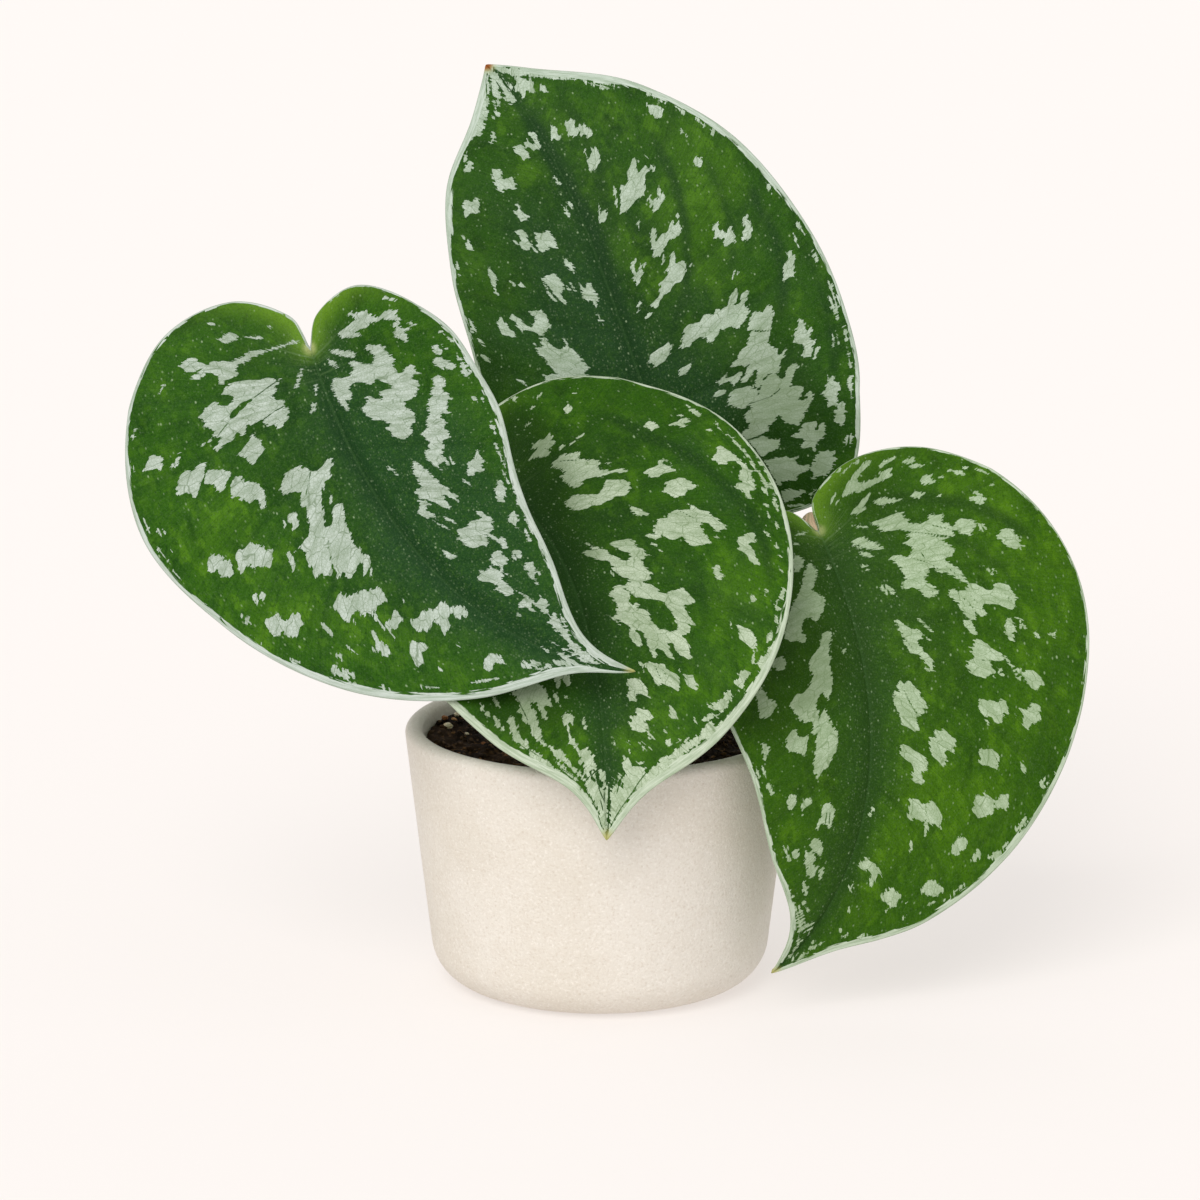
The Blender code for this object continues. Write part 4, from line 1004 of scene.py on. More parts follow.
# Soft zones of each blade, in the same frame: (x, y, reach, strength). The bluish zones are dark
# green, as along a midrib or a big side vein, and partly painted shade where a blade half faces away from the light;
# the yellow-green zones are partly the blade's own yellow-green and partly painted light where it is lit; the
# plain dark green zones are painted shade and painted shadow where another blade or a lobe shades the blade.
COOL_AND_SHADE = {
    "leaf_left": ((350, 400, 34, 0.5), (392, 455, 46, 0.8), (440, 525, 50, 0.9), (500, 595, 48, 0.9), (560, 640, 36, 0.7),
                  (450, 440, 40, 0.45), (490, 520, 36, 0.6), (330, 352, 22, 0.5), (400, 560, 30, 0.4), (300, 440, 22, 0.3)),
    "leaf_top": ((560, 280, 42, 0.55), (592, 335, 44, 0.8), (530, 220, 34, 0.45), (500, 345, 34, 0.4), (640, 395, 46, 0.9),
                 (700, 400, 40, 0.6), (700, 300, 18, 0.3), (770, 250, 20, 0.3), (740, 440, 40, 0.4),
                 (790, 360, 24, 0.35), (480, 190, 24, 0.25)),
    "leaf_middle": ((590, 625, 28, 0.7), (602, 700, 26, 0.8), (606, 770, 18, 0.7), (570, 560, 30, 0.5), (640, 428, 16, 0.4),
                    (690, 455, 17, 0.65), (726, 500, 17, 0.65), (746, 555, 17, 0.55), (742, 620, 17, 0.5), (700, 600, 16, 0.45),
                    (680, 560, 14, 0.35), (655, 640, 16, 0.3), (600, 440, 20, 0.3)),
    "leaf_right": ((838, 560, 26, 0.7), (852, 615, 32, 0.9), (868, 690, 32, 0.9), (866, 770, 30, 0.8), (846, 850, 26, 0.6),
                   (820, 905, 22, 0.5), (880, 545, 22, 0.35), (905, 615, 18, 0.35), (935, 560, 14, 0.2), (900, 500, 24, 0.4)),
}
YELLOW_AND_LIT = {
    "leaf_left": ((205, 540, 34, 0.7), (240, 505, 22, 0.4), (172, 470, 24, 0.3), (262, 560, 22, 0.5), (255, 628, 34, 0.42),
                  (335, 628, 34, 0.42), (395, 632, 30, 0.38), (175, 330, 30, 0.25), (440, 648, 22, 0.3), (308, 505, 16, 0.3),
                  (150, 400, 20, 0.25), (392, 505, 14, 0.5), (455, 420, 18, 0.35), (380, 320, 26, 0.2), (300, 590, 20, 0.35)),
    "leaf_top": ((512, 125, 17, 0.6), (528, 172, 18, 0.55), (688, 130, 24, 0.55), (722, 165, 22, 0.5), (655, 205, 18, 0.5),
                 (590, 118, 30, 0.35), (640, 130, 26, 0.4), (705, 185, 32, 0.7), (680, 235, 28, 0.6), (730, 265, 26, 0.35),
                 (625, 255, 18, 0.8), (650, 290, 18, 0.5), (545, 110, 22, 0.35), (760, 210, 22, 0.25), (700, 270, 18, 0.5),
                 (550, 165, 18, 0.4), (800, 300, 18, 0.35), (470, 280, 16, 0.2), (600, 200, 20, 0.4), (835, 370, 14, 0.3)),
    "leaf_middle": ((577, 742, 12, 0.6), (562, 712, 12, 0.4), (632, 738, 13, 0.6), (628, 752, 12, 0.5), (570, 415, 28, 0.35), (640, 450, 24, 0.25), (720, 440, 18, 0.4), (755, 500, 16, 0.5), (765, 570, 18, 0.8), (745, 600, 20, 0.75), (720, 620, 18, 0.6),
                    (725, 570, 18, 0.7), (705, 520, 20, 0.35), (745, 660, 20, 0.7), (700, 690, 22, 0.6), (660, 700, 18, 0.35),
                    (650, 745, 18, 0.6), (545, 735, 20, 0.6), (620, 500, 20, 0.3), (560, 765, 14, 0.5), (650, 565, 14, 0.4)),
    "leaf_right": ((872, 592, 16, 0.5), (892, 632, 16, 0.5), (908, 665, 16, 0.4), (1000, 500, 34, 0.65), (1045, 560, 30, 0.65), (1060, 630, 26, 0.7), (1040, 700, 30, 0.6), (925, 790, 36, 0.85),
                   (885, 850, 28, 0.9), (820, 790, 18, 0.7), (930, 690, 26, 0.5), (985, 800, 28, 0.7), (955, 855, 24, 0.7),
                   (950, 480, 26, 0.5), (1010, 640, 24, 0.4), (900, 730, 20, 0.4), (1005, 745, 24, 0.5), (860, 905, 18, 0.7),
                   (790, 835, 12, 0.5), (990, 570, 20, 0.4)),
}
PAINTED_SHADE = {
    "leaf_left": ((240, 355, 30, 0.4), (275, 485, 26, 0.4), (360, 345, 26, 0.4), (425, 340, 26, 0.3), (250, 430, 20, 0.3)),
    "leaf_top": ((480, 375, 34, 0.9), (500, 300, 22, 0.2), (790, 480, 44, 0.9), (690, 350, 20, 0.3), (840, 420, 22, 0.4),
                 (770, 320, 22, 0.3), (740, 460, 30, 0.6), (768, 385, 38, 0.75), (792, 425, 32, 0.7)),
    "leaf_middle": ((515, 430, 24, 0.8), (535, 490, 30, 1.0), (560, 560, 28, 1.0), (590, 620, 20, 0.7), (640, 670, 12, 0.3),
                    (540, 700, 30, 0.9), (500, 700, 26, 0.8), (600, 690, 16, 0.4), (525, 460, 26, 0.9), (530, 500, 26, 0.6)),
    "leaf_right": ((810, 655, 24, 0.5), (800, 575, 32, 0.8), (790, 640, 30, 0.9), (770, 715, 26, 0.9), (815, 690, 20, 0.4), (862, 485, 30, 0.6), (824, 665, 24, 0.6), (905, 522, 34, 0.3),
                   (800, 760, 16, 0.3)),
}
# Grooves over the big veins, traced in the same frame: (half width, strength, x, y, x, y, ...).
# The grooves are drawn as painted shade: darker green along their troughs.
SHADED_GROOVES = {
    "leaf_left": (
        (8, 1.0, 310, 375, 322, 400, 336, 424, 352, 452, 370, 482, 392, 513, 416, 541, 442, 566, 470, 592, 500, 613,
         530, 631, 562, 649, 592, 661),
        (4, 0.5, 322, 372, 338, 400, 352, 430, 362, 455),
        (5, 0.4, 345, 372, 372, 398, 392, 430, 404, 462, 412, 500, 424, 532),
        (5, 0.4, 284, 372, 262, 396, 250, 420, 240, 452),
        (5, 0.3, 330, 560, 352, 590, 380, 625, 410, 655)),
    "leaf_top": (
        (9, 0.95, 520, 96, 540, 140, 560, 175, 580, 202, 596, 232, 606, 265, 616, 300, 628, 338, 640, 376),
        (9, 0.6, 556, 92, 580, 125, 598, 165, 606, 205, 612, 240),
        (7, 0.75, 640, 118, 660, 150, 676, 186, 685, 222, 688, 260, 684, 300, 672, 335, 656, 366),
        (7, 0.55, 700, 150, 716, 182, 728, 215, 733, 250, 728, 290),
        (8, 0.75, 742, 175, 762, 210, 777, 242, 784, 275, 782, 305, 772, 335),
        (6, 0.55, 800, 235, 816, 275, 828, 315, 834, 355, 832, 400),
        (6, 0.45, 500, 205, 516, 250, 540, 295, 572, 335, 600, 368),
        (5, 0.35, 476, 215, 488, 262, 506, 300)),
    "leaf_middle": (
        (7, 0.95, 585, 412, 612, 420, 642, 434, 672, 448, 702, 467, 730, 491, 750, 516, 764, 545, 771, 580, 768, 615),
        (6, 0.5, 560, 520, 592, 516, 622, 522, 645, 540, 660, 566),
        (5, 0.4, 690, 552, 702, 580, 706, 610, 700, 645),
        (6, 0.5, 606, 560, 604, 600, 610, 640, 622, 680, 628, 720, 622, 760),
        (5, 0.4, 640, 478, 668, 488, 700, 505, 722, 530)),
    "leaf_right": (
        (17, 0.75, 824, 545, 838, 580, 852, 620, 862, 665, 867, 710, 868, 755, 862, 800, 852, 845, 838, 890, 818, 925),
        (7, 0.9, 832, 516, 856, 504, 884, 499, 915, 498, 945, 500, 975, 507, 1003, 519, 1030, 538, 1048, 565),
        (6, 0.6, 945, 537, 970, 546, 995, 562, 1018, 582),
        (7, 0.5, 858, 555, 886, 580, 912, 602, 940, 634, 958, 670, 966, 712),
        (6, 0.4, 928, 582, 952, 602, 968, 628),
        (8, 0.45, 1052, 610, 1056, 660, 1050, 710, 1036, 760, 1010, 808, 974, 850, 930, 884),
        (7, 0.4, 800, 725, 806, 770, 812, 815, 810, 860)),
}
# How far each blade leans to yellow-green.
WARM = {"leaf_left": 0.0, "leaf_top": 0.20, "leaf_middle": 0.25, "leaf_right": 0.65}
# What each blade's green and silver are multiplied by.
GREEN_TINT = {"leaf_left": (0.84, 0.95, 0.80), "leaf_top": (0.68, 0.79, 0.82), "leaf_middle": (0.78, 0.90, 0.58),
              "leaf_right": (0.86, 0.96, 0.60)}
SILVER_TINT = {"leaf_left": (0.98, 0.99, 1.08), "leaf_top": (0.98, 1.01, 1.05), "leaf_middle": (1.00, 1.02, 0.96),
               "leaf_right": (0.95, 1.0, 0.93)}
# How strongly each blade's side veins show.
VEINED = {"leaf_left": 0.62, "leaf_top": 0.95, "leaf_middle": 1.15, "leaf_right": 0.72}
# Which blades stand in front of each one, seen from the photograph's camera.
IN_FRONT = {
    "leaf_left": (),
    "leaf_top": ("leaf_left", "leaf_middle", "leaf_right"),
    "leaf_middle": ("leaf_left",),
    "leaf_right": ("leaf_middle",),
}

# ================================================================ the photograph's camera
CAMERA_PLACE = (0.0, -1.2485, 0.3977)
CAMERA_TILT = 13.406
CAMERA_LENS = 150.0


def to_photo(points):
    """Places in mm to the photograph's frame of 1200 by 1200."""
    tilt = math.radians(CAMERA_TILT)
    y = points[:, 1] - CAMERA_PLACE[1] * 1000
    z = points[:, 2] - CAMERA_PLACE[2] * 1000
    depth = y * math.cos(tilt) - z * math.sin(tilt)
    up = y * math.sin(tilt) + z * math.cos(tilt)
    pixels = 1200 * CAMERA_LENS / 36
    return np.stack([600 + pixels * points[:, 0] / depth, 600 - pixels * up / depth], 1)


# ================================================================ curves
def smooth_curve(points, steps):
    p = np.asarray(points, float)
    q = np.vstack([2 * p[0] - p[1], p, 2 * p[-1] - p[-2]])
    t = np.linspace(0.0, 1.0, steps, endpoint=False)[:, None]
    out = []
    for i in range(1, len(q) - 2):
        a, b, c, d = q[i - 1], q[i], q[i + 1], q[i + 2]
        out.append(0.5 * (2 * b + (c - a) * t + (2 * a - 5 * b + 4 * c - d) * t ** 2
                          + (3 * b - a - 3 * c + d) * t ** 3))
    return np.vstack([*out, p[-1:]])


def even_steps(curve, count):
    run = np.concatenate([[0.0], np.cumsum(np.linalg.norm(np.diff(curve, axis=0), axis=1))])
    want = np.linspace(0.0, run[-1], count)
    return np.stack([np.interp(want, run, curve[:, k]) for k in range(curve.shape[1])], 1)


def arc(centre, radius, start, end, steps):
    a = np.radians(np.linspace(start, end, steps))
    return [(centre[0] + radius * math.cos(x), centre[1] + radius * math.sin(x)) for x in a]


def smoothstep(low, high, x):
    t = np.clip((x - low) / (high - low), 0.0, 1.0)
    return t * t * (3 - 2 * t)


def lattice_noise(x, y, size, seed):
    """Smooth noise between -1 and 1 with features of that size, from a seeded table."""
    table = np.random.default_rng(seed).uniform(-1, 1, (256, 256))
    gx, gy = x / size, y / size
    ix, iy = np.floor(gx).astype(int), np.floor(gy).astype(int)
    fx, fy = gx - ix, gy - iy
    fx, fy = fx * fx * (3 - 2 * fx), fy * fy * (3 - 2 * fy)
    at = lambda i, j: table[i % 256, j % 256]
    low = at(ix, iy) * (1 - fx) + at(ix + 1, iy) * fx
    high = at(ix, iy + 1) * (1 - fx) + at(ix + 1, iy + 1) * fx
    return low * (1 - fy) + high * fy


# ================================================================ objects
def new_object(name, points_mm, faces, materials, attributes=None, material_index=None):
    mesh = bpy.data.meshes.new(name)
    mesh.from_pydata((np.asarray(points_mm) * MM).tolist(), [], faces)
    for key, values in (attributes or {}).items():
        values = np.asarray(values, np.float32)
        kind = "FLOAT" if values.ndim == 1 else "FLOAT_VECTOR"
        made = mesh.attributes.new(key, kind, "POINT")
        made.data.foreach_set("value" if values.ndim == 1 else "vector", values.ravel())
    for material in materials:
        mesh.materials.append(material)
    if material_index is not None:
        mesh.polygons.foreach_set("material_index", np.asarray(material_index, np.int32))
    mesh.update()
    mesh.shade_smooth()
    obj = bpy.data.objects.new(name, mesh)
    bpy.context.scene.collection.objects.link(obj)
    return obj


def hand_in(obj, slot, *nodes):
    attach(obj, "root")
    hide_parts(*nodes)
    return obj


# ================================================================ materials
class Shade:
    """Short calls for one material's node tree."""

    def __init__(self, name, **settings):
        self.material = bpy.data.materials.new(name)
        self.material.use_nodes = True
        self.tree = self.material.node_tree
        self.shader = self.tree.nodes["Principled BSDF"]
        for key, value in settings.items():
            self.shader.inputs[key.replace("_", " ")].default_value = value

    def feed(self, value, socket):
        if isinstance(value, bpy.types.NodeSocket):
            self.tree.links.new(value, socket)
        elif isinstance(value, (tuple, list)) and len(value) == 3 and len(socket.default_value) == 4:
            socket.default_value = (*value, 1.0)
        else:
            socket.default_value = value

    def attribute(self, name, vector=False):
        node = self.tree.nodes.new("ShaderNodeAttribute")
        node.attribute_name = name
        return node.outputs["Vector" if vector else "Fac"]

    def place(self):
        return self.tree.nodes.new("ShaderNodeTexCoord").outputs["Object"]

    def calc(self, operation, a, b=0.0, clamp=False):
        node = self.tree.nodes.new("ShaderNodeMath")
        node.operation = operation
        node.use_clamp = clamp
        self.feed(a, node.inputs[0])
        self.feed(b, node.inputs[1])
        return node.outputs[0]

    def stretch(self, vector, factors, offset=(0.0, 0.0, 0.0)):
        node = self.tree.nodes.new("ShaderNodeMapping")
        self.feed(vector, node.inputs["Vector"])
        node.inputs["Scale"].default_value = factors
        node.inputs["Location"].default_value = offset
        return node.outputs[0]

    def noise(self, vector, scale=1.0, detail=2.0, roughness=0.5, distortion=0.0):
        node = self.tree.nodes.new("ShaderNodeTexNoise")
        self.feed(vector, node.inputs["Vector"])
        node.inputs["Scale"].default_value = scale
        node.inputs["Detail"].default_value = detail
        node.inputs["Roughness"].default_value = roughness
        node.inputs["Distortion"].default_value = distortion
        return node.outputs["Fac"]

    def cells(self, vector, scale=1.0, feature="F1", randomness=1.0):
        node = self.tree.nodes.new("ShaderNodeTexVoronoi")
        node.feature = feature
        self.feed(vector, node.inputs["Vector"])
        node.inputs["Scale"].default_value = scale
        node.inputs["Randomness"].default_value = randomness
        return node

    def red(self, colour):
        node = self.tree.nodes.new("ShaderNodeSeparateColor")
        self.feed(colour, node.inputs[0])
        return node.outputs[0]

    def ramp(self, value, low, high, start=0.0, end=1.0):
        node = self.tree.nodes.new("ShaderNodeMapRange")
        node.interpolation_type = "SMOOTHSTEP"
        self.feed(value, node.inputs["Value"])
        node.inputs["From Min"].default_value = low
        node.inputs["From Max"].default_value = high
        node.inputs["To Min"].default_value = start
        node.inputs["To Max"].default_value = end
        return node.outputs["Result"]

    def mix(self, share, a, b, blend="MIX"):
        node = self.tree.nodes.new("ShaderNodeMix")
        node.data_type = "RGBA"
        node.blend_type = blend
        node.clamp_factor = True
        self.feed(share, node.inputs[0])
        self.feed(a, node.inputs[6])
        self.feed(b, node.inputs[7])
        return node.outputs[2]

    def bump(self, height, distance, strength=1.0, under=None):
        node = self.tree.nodes.new("ShaderNodeBump")
        node.inputs["Strength"].default_value = strength
        node.inputs["Distance"].default_value = distance
        self.feed(height, node.inputs["Height"])
        if under is not None:
            self.feed(under, node.inputs["Normal"])
        return node.outputs[0]

    def finish(self, colour, roughness, normal=None):
        self.feed(colour, self.shader.inputs["Base Color"])
        self.feed(roughness, self.shader.inputs["Roughness"])
        if normal is not None:
            self.feed(normal, self.shader.inputs["Normal"])
        return self.material


def silver_mask(s, veins, edgeway):
    """How silver the place is, its margin part, and the clouds that push the edges about."""
    # Narrow strips along the veins, each pushed in or out on its own: stepped, broken ends.
    strips = s.cells(s.stretch(veins, (0.15, 1.45, 1.0)), 1.0)
    step = s.calc("MULTIPLY", s.calc("SUBTRACT", s.red(strips.outputs["Color"]), 0.5), 1.05)
    fine = s.cells(s.stretch(veins, (0.42, 3.2, 1.0), (5.0, 3.0, 0.0)), 1.0)
    step = s.calc("ADD", step, s.calc("MULTIPLY", s.calc("SUBTRACT", s.red(fine.outputs["Color"]), 0.5), 0.35))
    ragged = s.noise(s.stretch(veins, (0.26, 1.7, 1.0)), 1.0, 4.0, 0.62)
    push = s.calc("ADD", s.calc("MULTIPLY", step, s.attribute("ends")),
                  s.calc("MULTIPLY", s.calc("SUBTRACT", ragged, 0.5), 0.42))
    inside = s.ramp(s.calc("ADD", s.attribute("silver"), push), -0.03, 0.06)
    crack = s.ramp(s.calc("ADD", s.attribute("crack"), s.calc("MULTIPLY", s.calc("SUBTRACT", ragged, 0.5), 0.25)),
                   -0.06, 0.10)
    inside = s.calc("MULTIPLY", inside, s.calc("SUBTRACT", 1.0, crack))
    # The margin: a plain pale edge, then broken streaks that run along it.
    streaks = s.noise(s.stretch(edgeway, (0.16, 1.9, 1.0)), 1.0, 4.0, 0.66)
    blocks = s.cells(s.stretch(edgeway, (0.30, 1.4, 1.0), (2.0, 0.0, 0.0)), 1.0)
    edge_push = s.calc("ADD", s.calc("MULTIPLY", s.calc("SUBTRACT", streaks, 0.5), 1.5),
                       s.calc("MULTIPLY", s.calc("SUBTRACT", s.red(blocks.outputs["Color"]), 0.5), 0.7))
    wide = s.calc("MULTIPLY", s.attribute("band"), s.ramp(s.attribute("band"), 0.4, 2.4, 0.62, 0.78))
    band = s.ramp(s.calc("ADD", s.calc("SUBTRACT", wide, s.attribute("rim")), edge_push), -0.10, 0.12)
    edge = s.ramp(s.calc("SUBTRACT", s.calc("MULTIPLY", s.attribute("band"), 0.34), s.attribute("rim")), -0.08, 0.08)
    band = s.calc("MAXIMUM", band, edge)
    return s.calc("MAXIMUM", inside, band), band, streaks


def blade_upper(leaf):
    s = Shade("satin_" + leaf, Specular_IOR_Level=0.035)
    veins, flat, edgeway = s.attribute("veins", True), s.attribute("flat", True), s.attribute("edgeway", True)
    silver, band, streaks = silver_mask(s, veins, edgeway)
    warm = s.attribute("warm")

    # Green: darker by the midrib and the veins, lighter outward, with yellow-green mottling; painted shade in shaded
    # zones and in the vein grooves, painted light in yellow-green zones.
    clouds = s.noise(s.stretch(veins, (0.045, 0.12, 1.0), (3.0, 0.0, 0.0)), 1.0, 3.0, 0.55)
    thread = s.noise(s.stretch(veins, (0.03, 1.4, 1.0), (4.0, 8.0, 0.0)), 1.0, 2.0, 0.5)
    thread = s.calc("ABSOLUTE", s.calc("SUBTRACT", thread, 0.5))
    mottle = s.noise(s.stretch(flat, (0.13, 0.09, 1.0)), 1.0, 5.0, 0.62, 0.5)
    fine = s.noise(flat, 1.3, 4.0, 0.62)
    lines = s.noise(s.stretch(veins, (0.07, 2.4, 1.0), (1.0, 5.0, 0.0)), 1.0, 3.0, 0.6)
    waver = s.calc("MULTIPLY", s.calc("SUBTRACT", mottle, 0.5), 1.6)
    out = s.calc("ADD", s.attribute("outward"), s.calc("MULTIPLY", s.calc("SUBTRACT", clouds, 0.5), 1.3))
    green = s.mix(s.ramp(out, 0.10, 0.80), (0.022, 0.070, 0.010), (0.036, 0.108, 0.008))
    green = s.mix(s.ramp(mottle, 0.50, 0.70, 0.0, 0.55), green, (0.070, 0.165, 0.008))
    green = s.mix(s.ramp(mottle, 0.47, 0.30, 0.0, 0.70), green, (0.011, 0.044, 0.005))
    # Yellow-green zones: partly the blade's own colour, partly painted light where the blade is lit.
    yellow_and_lit = s.calc("ADD", s.attribute("yellow_and_lit"), waver)
    green = s.mix(s.calc("MULTIPLY", s.ramp(yellow_and_lit, 0.15, 0.95), 0.58), green, (0.092, 0.205, 0.009))
    bumps = s.noise(s.stretch(flat, (0.30, 0.24, 1.0), (2.0, 9.0, 0.0)), 1.0, 3.0, 0.55)
    green = s.mix(s.calc("MULTIPLY", s.ramp(bumps, 0.50, 0.63, 0.0, 0.80), s.ramp(yellow_and_lit, 0.0, 0.8, 0.28, 1.0)), green,
                  (0.118, 0.245, 0.014))
    beside = s.ramp(s.calc("ADD", s.attribute("rib"), s.calc("MULTIPLY", s.calc("SUBTRACT", clouds, 0.5), 0.5)), 0.0, 1.15)
    green = s.mix(s.calc("MULTIPLY", beside, 0.45), green, (0.022, 0.066, 0.020))
    rib = s.calc("ADD", s.attribute("rib"), s.calc("MULTIPLY", s.calc("SUBTRACT", clouds, 0.5), 0.25))
    # Bluish dark green along midribs and big side veins, partly painted shade where a blade half faces away from the
    # light.
    cool_and_shade = s.calc("ADD", s.attribute("cool_and_shade"), s.calc("MULTIPLY", waver, 0.7))
    green = s.mix(s.calc("MULTIPLY", s.ramp(cool_and_shade, 0.05, 0.95), 0.85), green, (0.022, 0.064, 0.026))
    # Darker green beside the side veins: partly their own colour, partly painted shade in their troughs.
    from_vein = s.calc("ADD", s.attribute("veinline"), s.calc("MULTIPLY", s.calc("SUBTRACT", fine, 0.5), 1.0))
    green = s.mix(s.ramp(from_vein, 2.3, 0.3, 0.0, 0.30), green, (0.012, 0.044, 0.012))
    # Painted shade in the grooves over the big veins.
    groove = s.calc("ADD", s.attribute("groove"), s.calc("MULTIPLY", s.calc("SUBTRACT", fine, 0.5), 0.30))
    green = s.mix(s.calc("MULTIPLY", s.ramp(groove, 0.06, 0.90), 0.74), green, (0.012, 0.041, 0.015))
    green = s.mix(s.calc("MULTIPLY", s.ramp(s.attribute("veinline"), 0.20, 0.04), 0.22), green, (0.036, 0.090, 0.032))
    green = s.mix(s.ramp(fine, 0.46, 0.74, 0.0, 0.48), green, (0.072, 0.158, 0.020))
    green = s.mix(s.ramp(fine, 0.46, 0.28, 0.0, 0.55), green, (0.010, 0.040, 0.005))
    green = s.mix(s.ramp(lines, 0.30, 0.62, 0.32, 0.0), green, (0.012, 0.044, 0.007))
    # Painted shade and painted shadow: darker green where another blade or a lobe shades the blade.
    deep = s.calc("ADD", s.attribute("deep"), s.calc("MULTIPLY", waver, 0.4))
    green = s.mix(s.calc("MULTIPLY", s.ramp(deep, 0.05, 0.95), 0.68), green, (0.007, 0.029, 0.003))
    green = s.mix(s.ramp(rib, 0.72, 1.0, 0.0, 0.55), green, (0.014, 0.046, 0.017))
    green = s.mix(1.0, green, GREEN_TINT[leaf], "MULTIPLY")
    green = s.mix(s.calc("MULTIPLY", s.ramp(s.attribute("sinus"), 0.0, 1.0), 0.90), green, (0.150, 0.285, 0.020))
    rays = s.calc("MULTIPLY", s.ramp(s.attribute("notch"), 0.15, 0.75),
                  s.ramp(s.calc("MINIMUM", s.attribute("veinline"), s.calc("MULTIPLY", thread, 20.0)), 0.55, 0.10))
    green = s.mix(s.calc("MULTIPLY", rays, 0.55), green, (0.150, 0.235, 0.105))
    green = s.mix(s.ramp(s.attribute("notch"), 0.74, 0.95, 0.0, 0.90), green, (0.520, 0.540, 0.250))
    green = s.mix(s.calc("MULTIPLY", warm, 0.30), green, (0.060, 0.128, 0.002))
    midline = s.ramp(s.attribute("midline"), 0.0, 1.0)
    green = s.mix(s.calc("MULTIPLY", midline, 0.35), green, (0.060, 0.130, 0.045))
    green = s.mix(1.0, green, (0.84, 0.90, 0.78), "MULTIPLY")
    velvet = s.noise(flat, 2.5, 2.0, 0.75)
    green = s.mix(s.ramp(velvet, 0.53, 0.70, 0.0, 0.34), green, (0.075, 0.130, 0.058))
    green = s.mix(s.ramp(velvet, 0.46, 0.30, 0.0, 0.40), green, (0.006, 0.026, 0.005))
    net = s.cells(s.stretch(veins, (0.55, 0.75, 1.0), (0.4, 2.2, 0.0)), 1.0, "DISTANCE_TO_EDGE")
    green = s.mix(s.ramp(net.outputs["Distance"], 0.10, 0.02, 0.0, 0.16), green, (0.012, 0.042, 0.010))
    for size, share, strength, shift in ((0.50, 0.62, 0.70, 0.3), (0.95, 0.70, 0.42, 4.1), (1.75, 0.66, 0.15, 8.3)):
        specks = s.cells(s.stretch(flat, (1.0, 0.8, 1.0), (shift, 0.7, 0.0)), size)
        small = s.ramp(specks.outputs["Distance"], 0.27 * size + 0.04, 0.10 * size)
        small = s.calc("MULTIPLY", small, s.ramp(s.red(specks.outputs["Color"]), share, share + 0.25))
        if size > 1:
            small = s.calc("MULTIPLY", small, s.ramp(s.calc("ADD", cool_and_shade, s.attribute("rib")), 0.1, 0.9, 0.25, 1.0))
        green = s.mix(s.calc("MULTIPLY", small, strength), green, (0.300, 0.400, 0.230))

    # Silver: grey-green white, a net of thin dark veins over it and a fine grain.
    tone = s.noise(s.stretch(veins, (0.16, 0.40, 1.0), (9.0, 1.0, 0.0)), 1.0, 4.0, 0.6)
    pale = s.mix(s.ramp(tone, 0.32, 0.68), (0.315, 0.385, 0.275), (0.490, 0.555, 0.450))
    grain = s.noise(flat, 3.4, 3.0, 0.70)
    pale = s.mix(s.ramp(grain, 0.52, 0.72, 0.0, 0.52), pale, (0.215, 0.280, 0.172))
    pale = s.mix(s.ramp(grain, 0.46, 0.30, 0.0, 0.40), pale, (0.560, 0.610, 0.520))
    small_net = s.cells(flat, 1.15, "DISTANCE_TO_EDGE")
    pale = s.mix(s.ramp(small_net.outputs["Distance"], 0.12, 0.02, 0.0, 0.38), pale, (0.190, 0.250, 0.140))
    wavy = s.noise(flat, 0.35, 2.0, 0.5)
    big = s.tree.nodes.new("ShaderNodeVectorMath")
    big.operation = "MULTIPLY_ADD"
    s.feed(s.stretch(veins, (0.20, 0.36, 1.0), (3.1, 0.2, 0.0)), big.inputs[0])
    big.inputs[1].default_value = (1.0, 1.0, 1.0)
    joined = s.tree.nodes.new("ShaderNodeCombineXYZ")
    s.feed(s.calc("MULTIPLY", wavy, 0.5), joined.inputs[0])
    s.feed(s.calc("MULTIPLY", wavy, 0.4), joined.inputs[1])
    s.feed(joined.outputs[0], big.inputs[2])
    big_net = s.cells(big.outputs[0], 1.0, "DISTANCE_TO_EDGE")
    pale = s.mix(s.ramp(big_net.outputs["Distance"], 0.034, 0.008, 0.0, 0.62), pale, (0.120, 0.180, 0.085))
    combed = s.noise(s.stretch(veins, (0.08, 3.6, 1.0), (2.0, 6.0, 0.0)), 1.0, 3.0, 0.6)
    pale = s.mix(s.ramp(combed, 0.55, 0.72, 0.0, 0.30), pale, (0.250, 0.320, 0.210))
    pale = s.mix(s.ramp(combed, 0.44, 0.30, 0.0, 0.28), pale, (0.560, 0.610, 0.520))
    pale = s.mix(s.calc("MULTIPLY", warm, 0.55), pale, s.mix(0.5, pale, (0.200, 0.330, 0.070)))
    rim_tone = s.mix(s.ramp(streaks, 0.34, 0.64), (0.340, 0.410, 0.300), (0.520, 0.575, 0.480))
    rim_lines = s.noise(s.stretch(edgeway, (0.10, 5.0, 1.0), (1.0, 0.0, 0.0)), 1.0, 3.0, 0.6)
    rim_tone = s.mix(s.ramp(rim_lines, 0.54, 0.72, 0.0, 0.55), rim_tone, (0.230, 0.310, 0.190))
    outer = s.ramp(s.attribute("rim"), 0.22, 0.05, 0.0, 0.55)
    rim_tone = s.mix(outer, rim_tone, (0.330, 0.385, 0.285))
    pale = s.mix(band, pale, rim_tone)

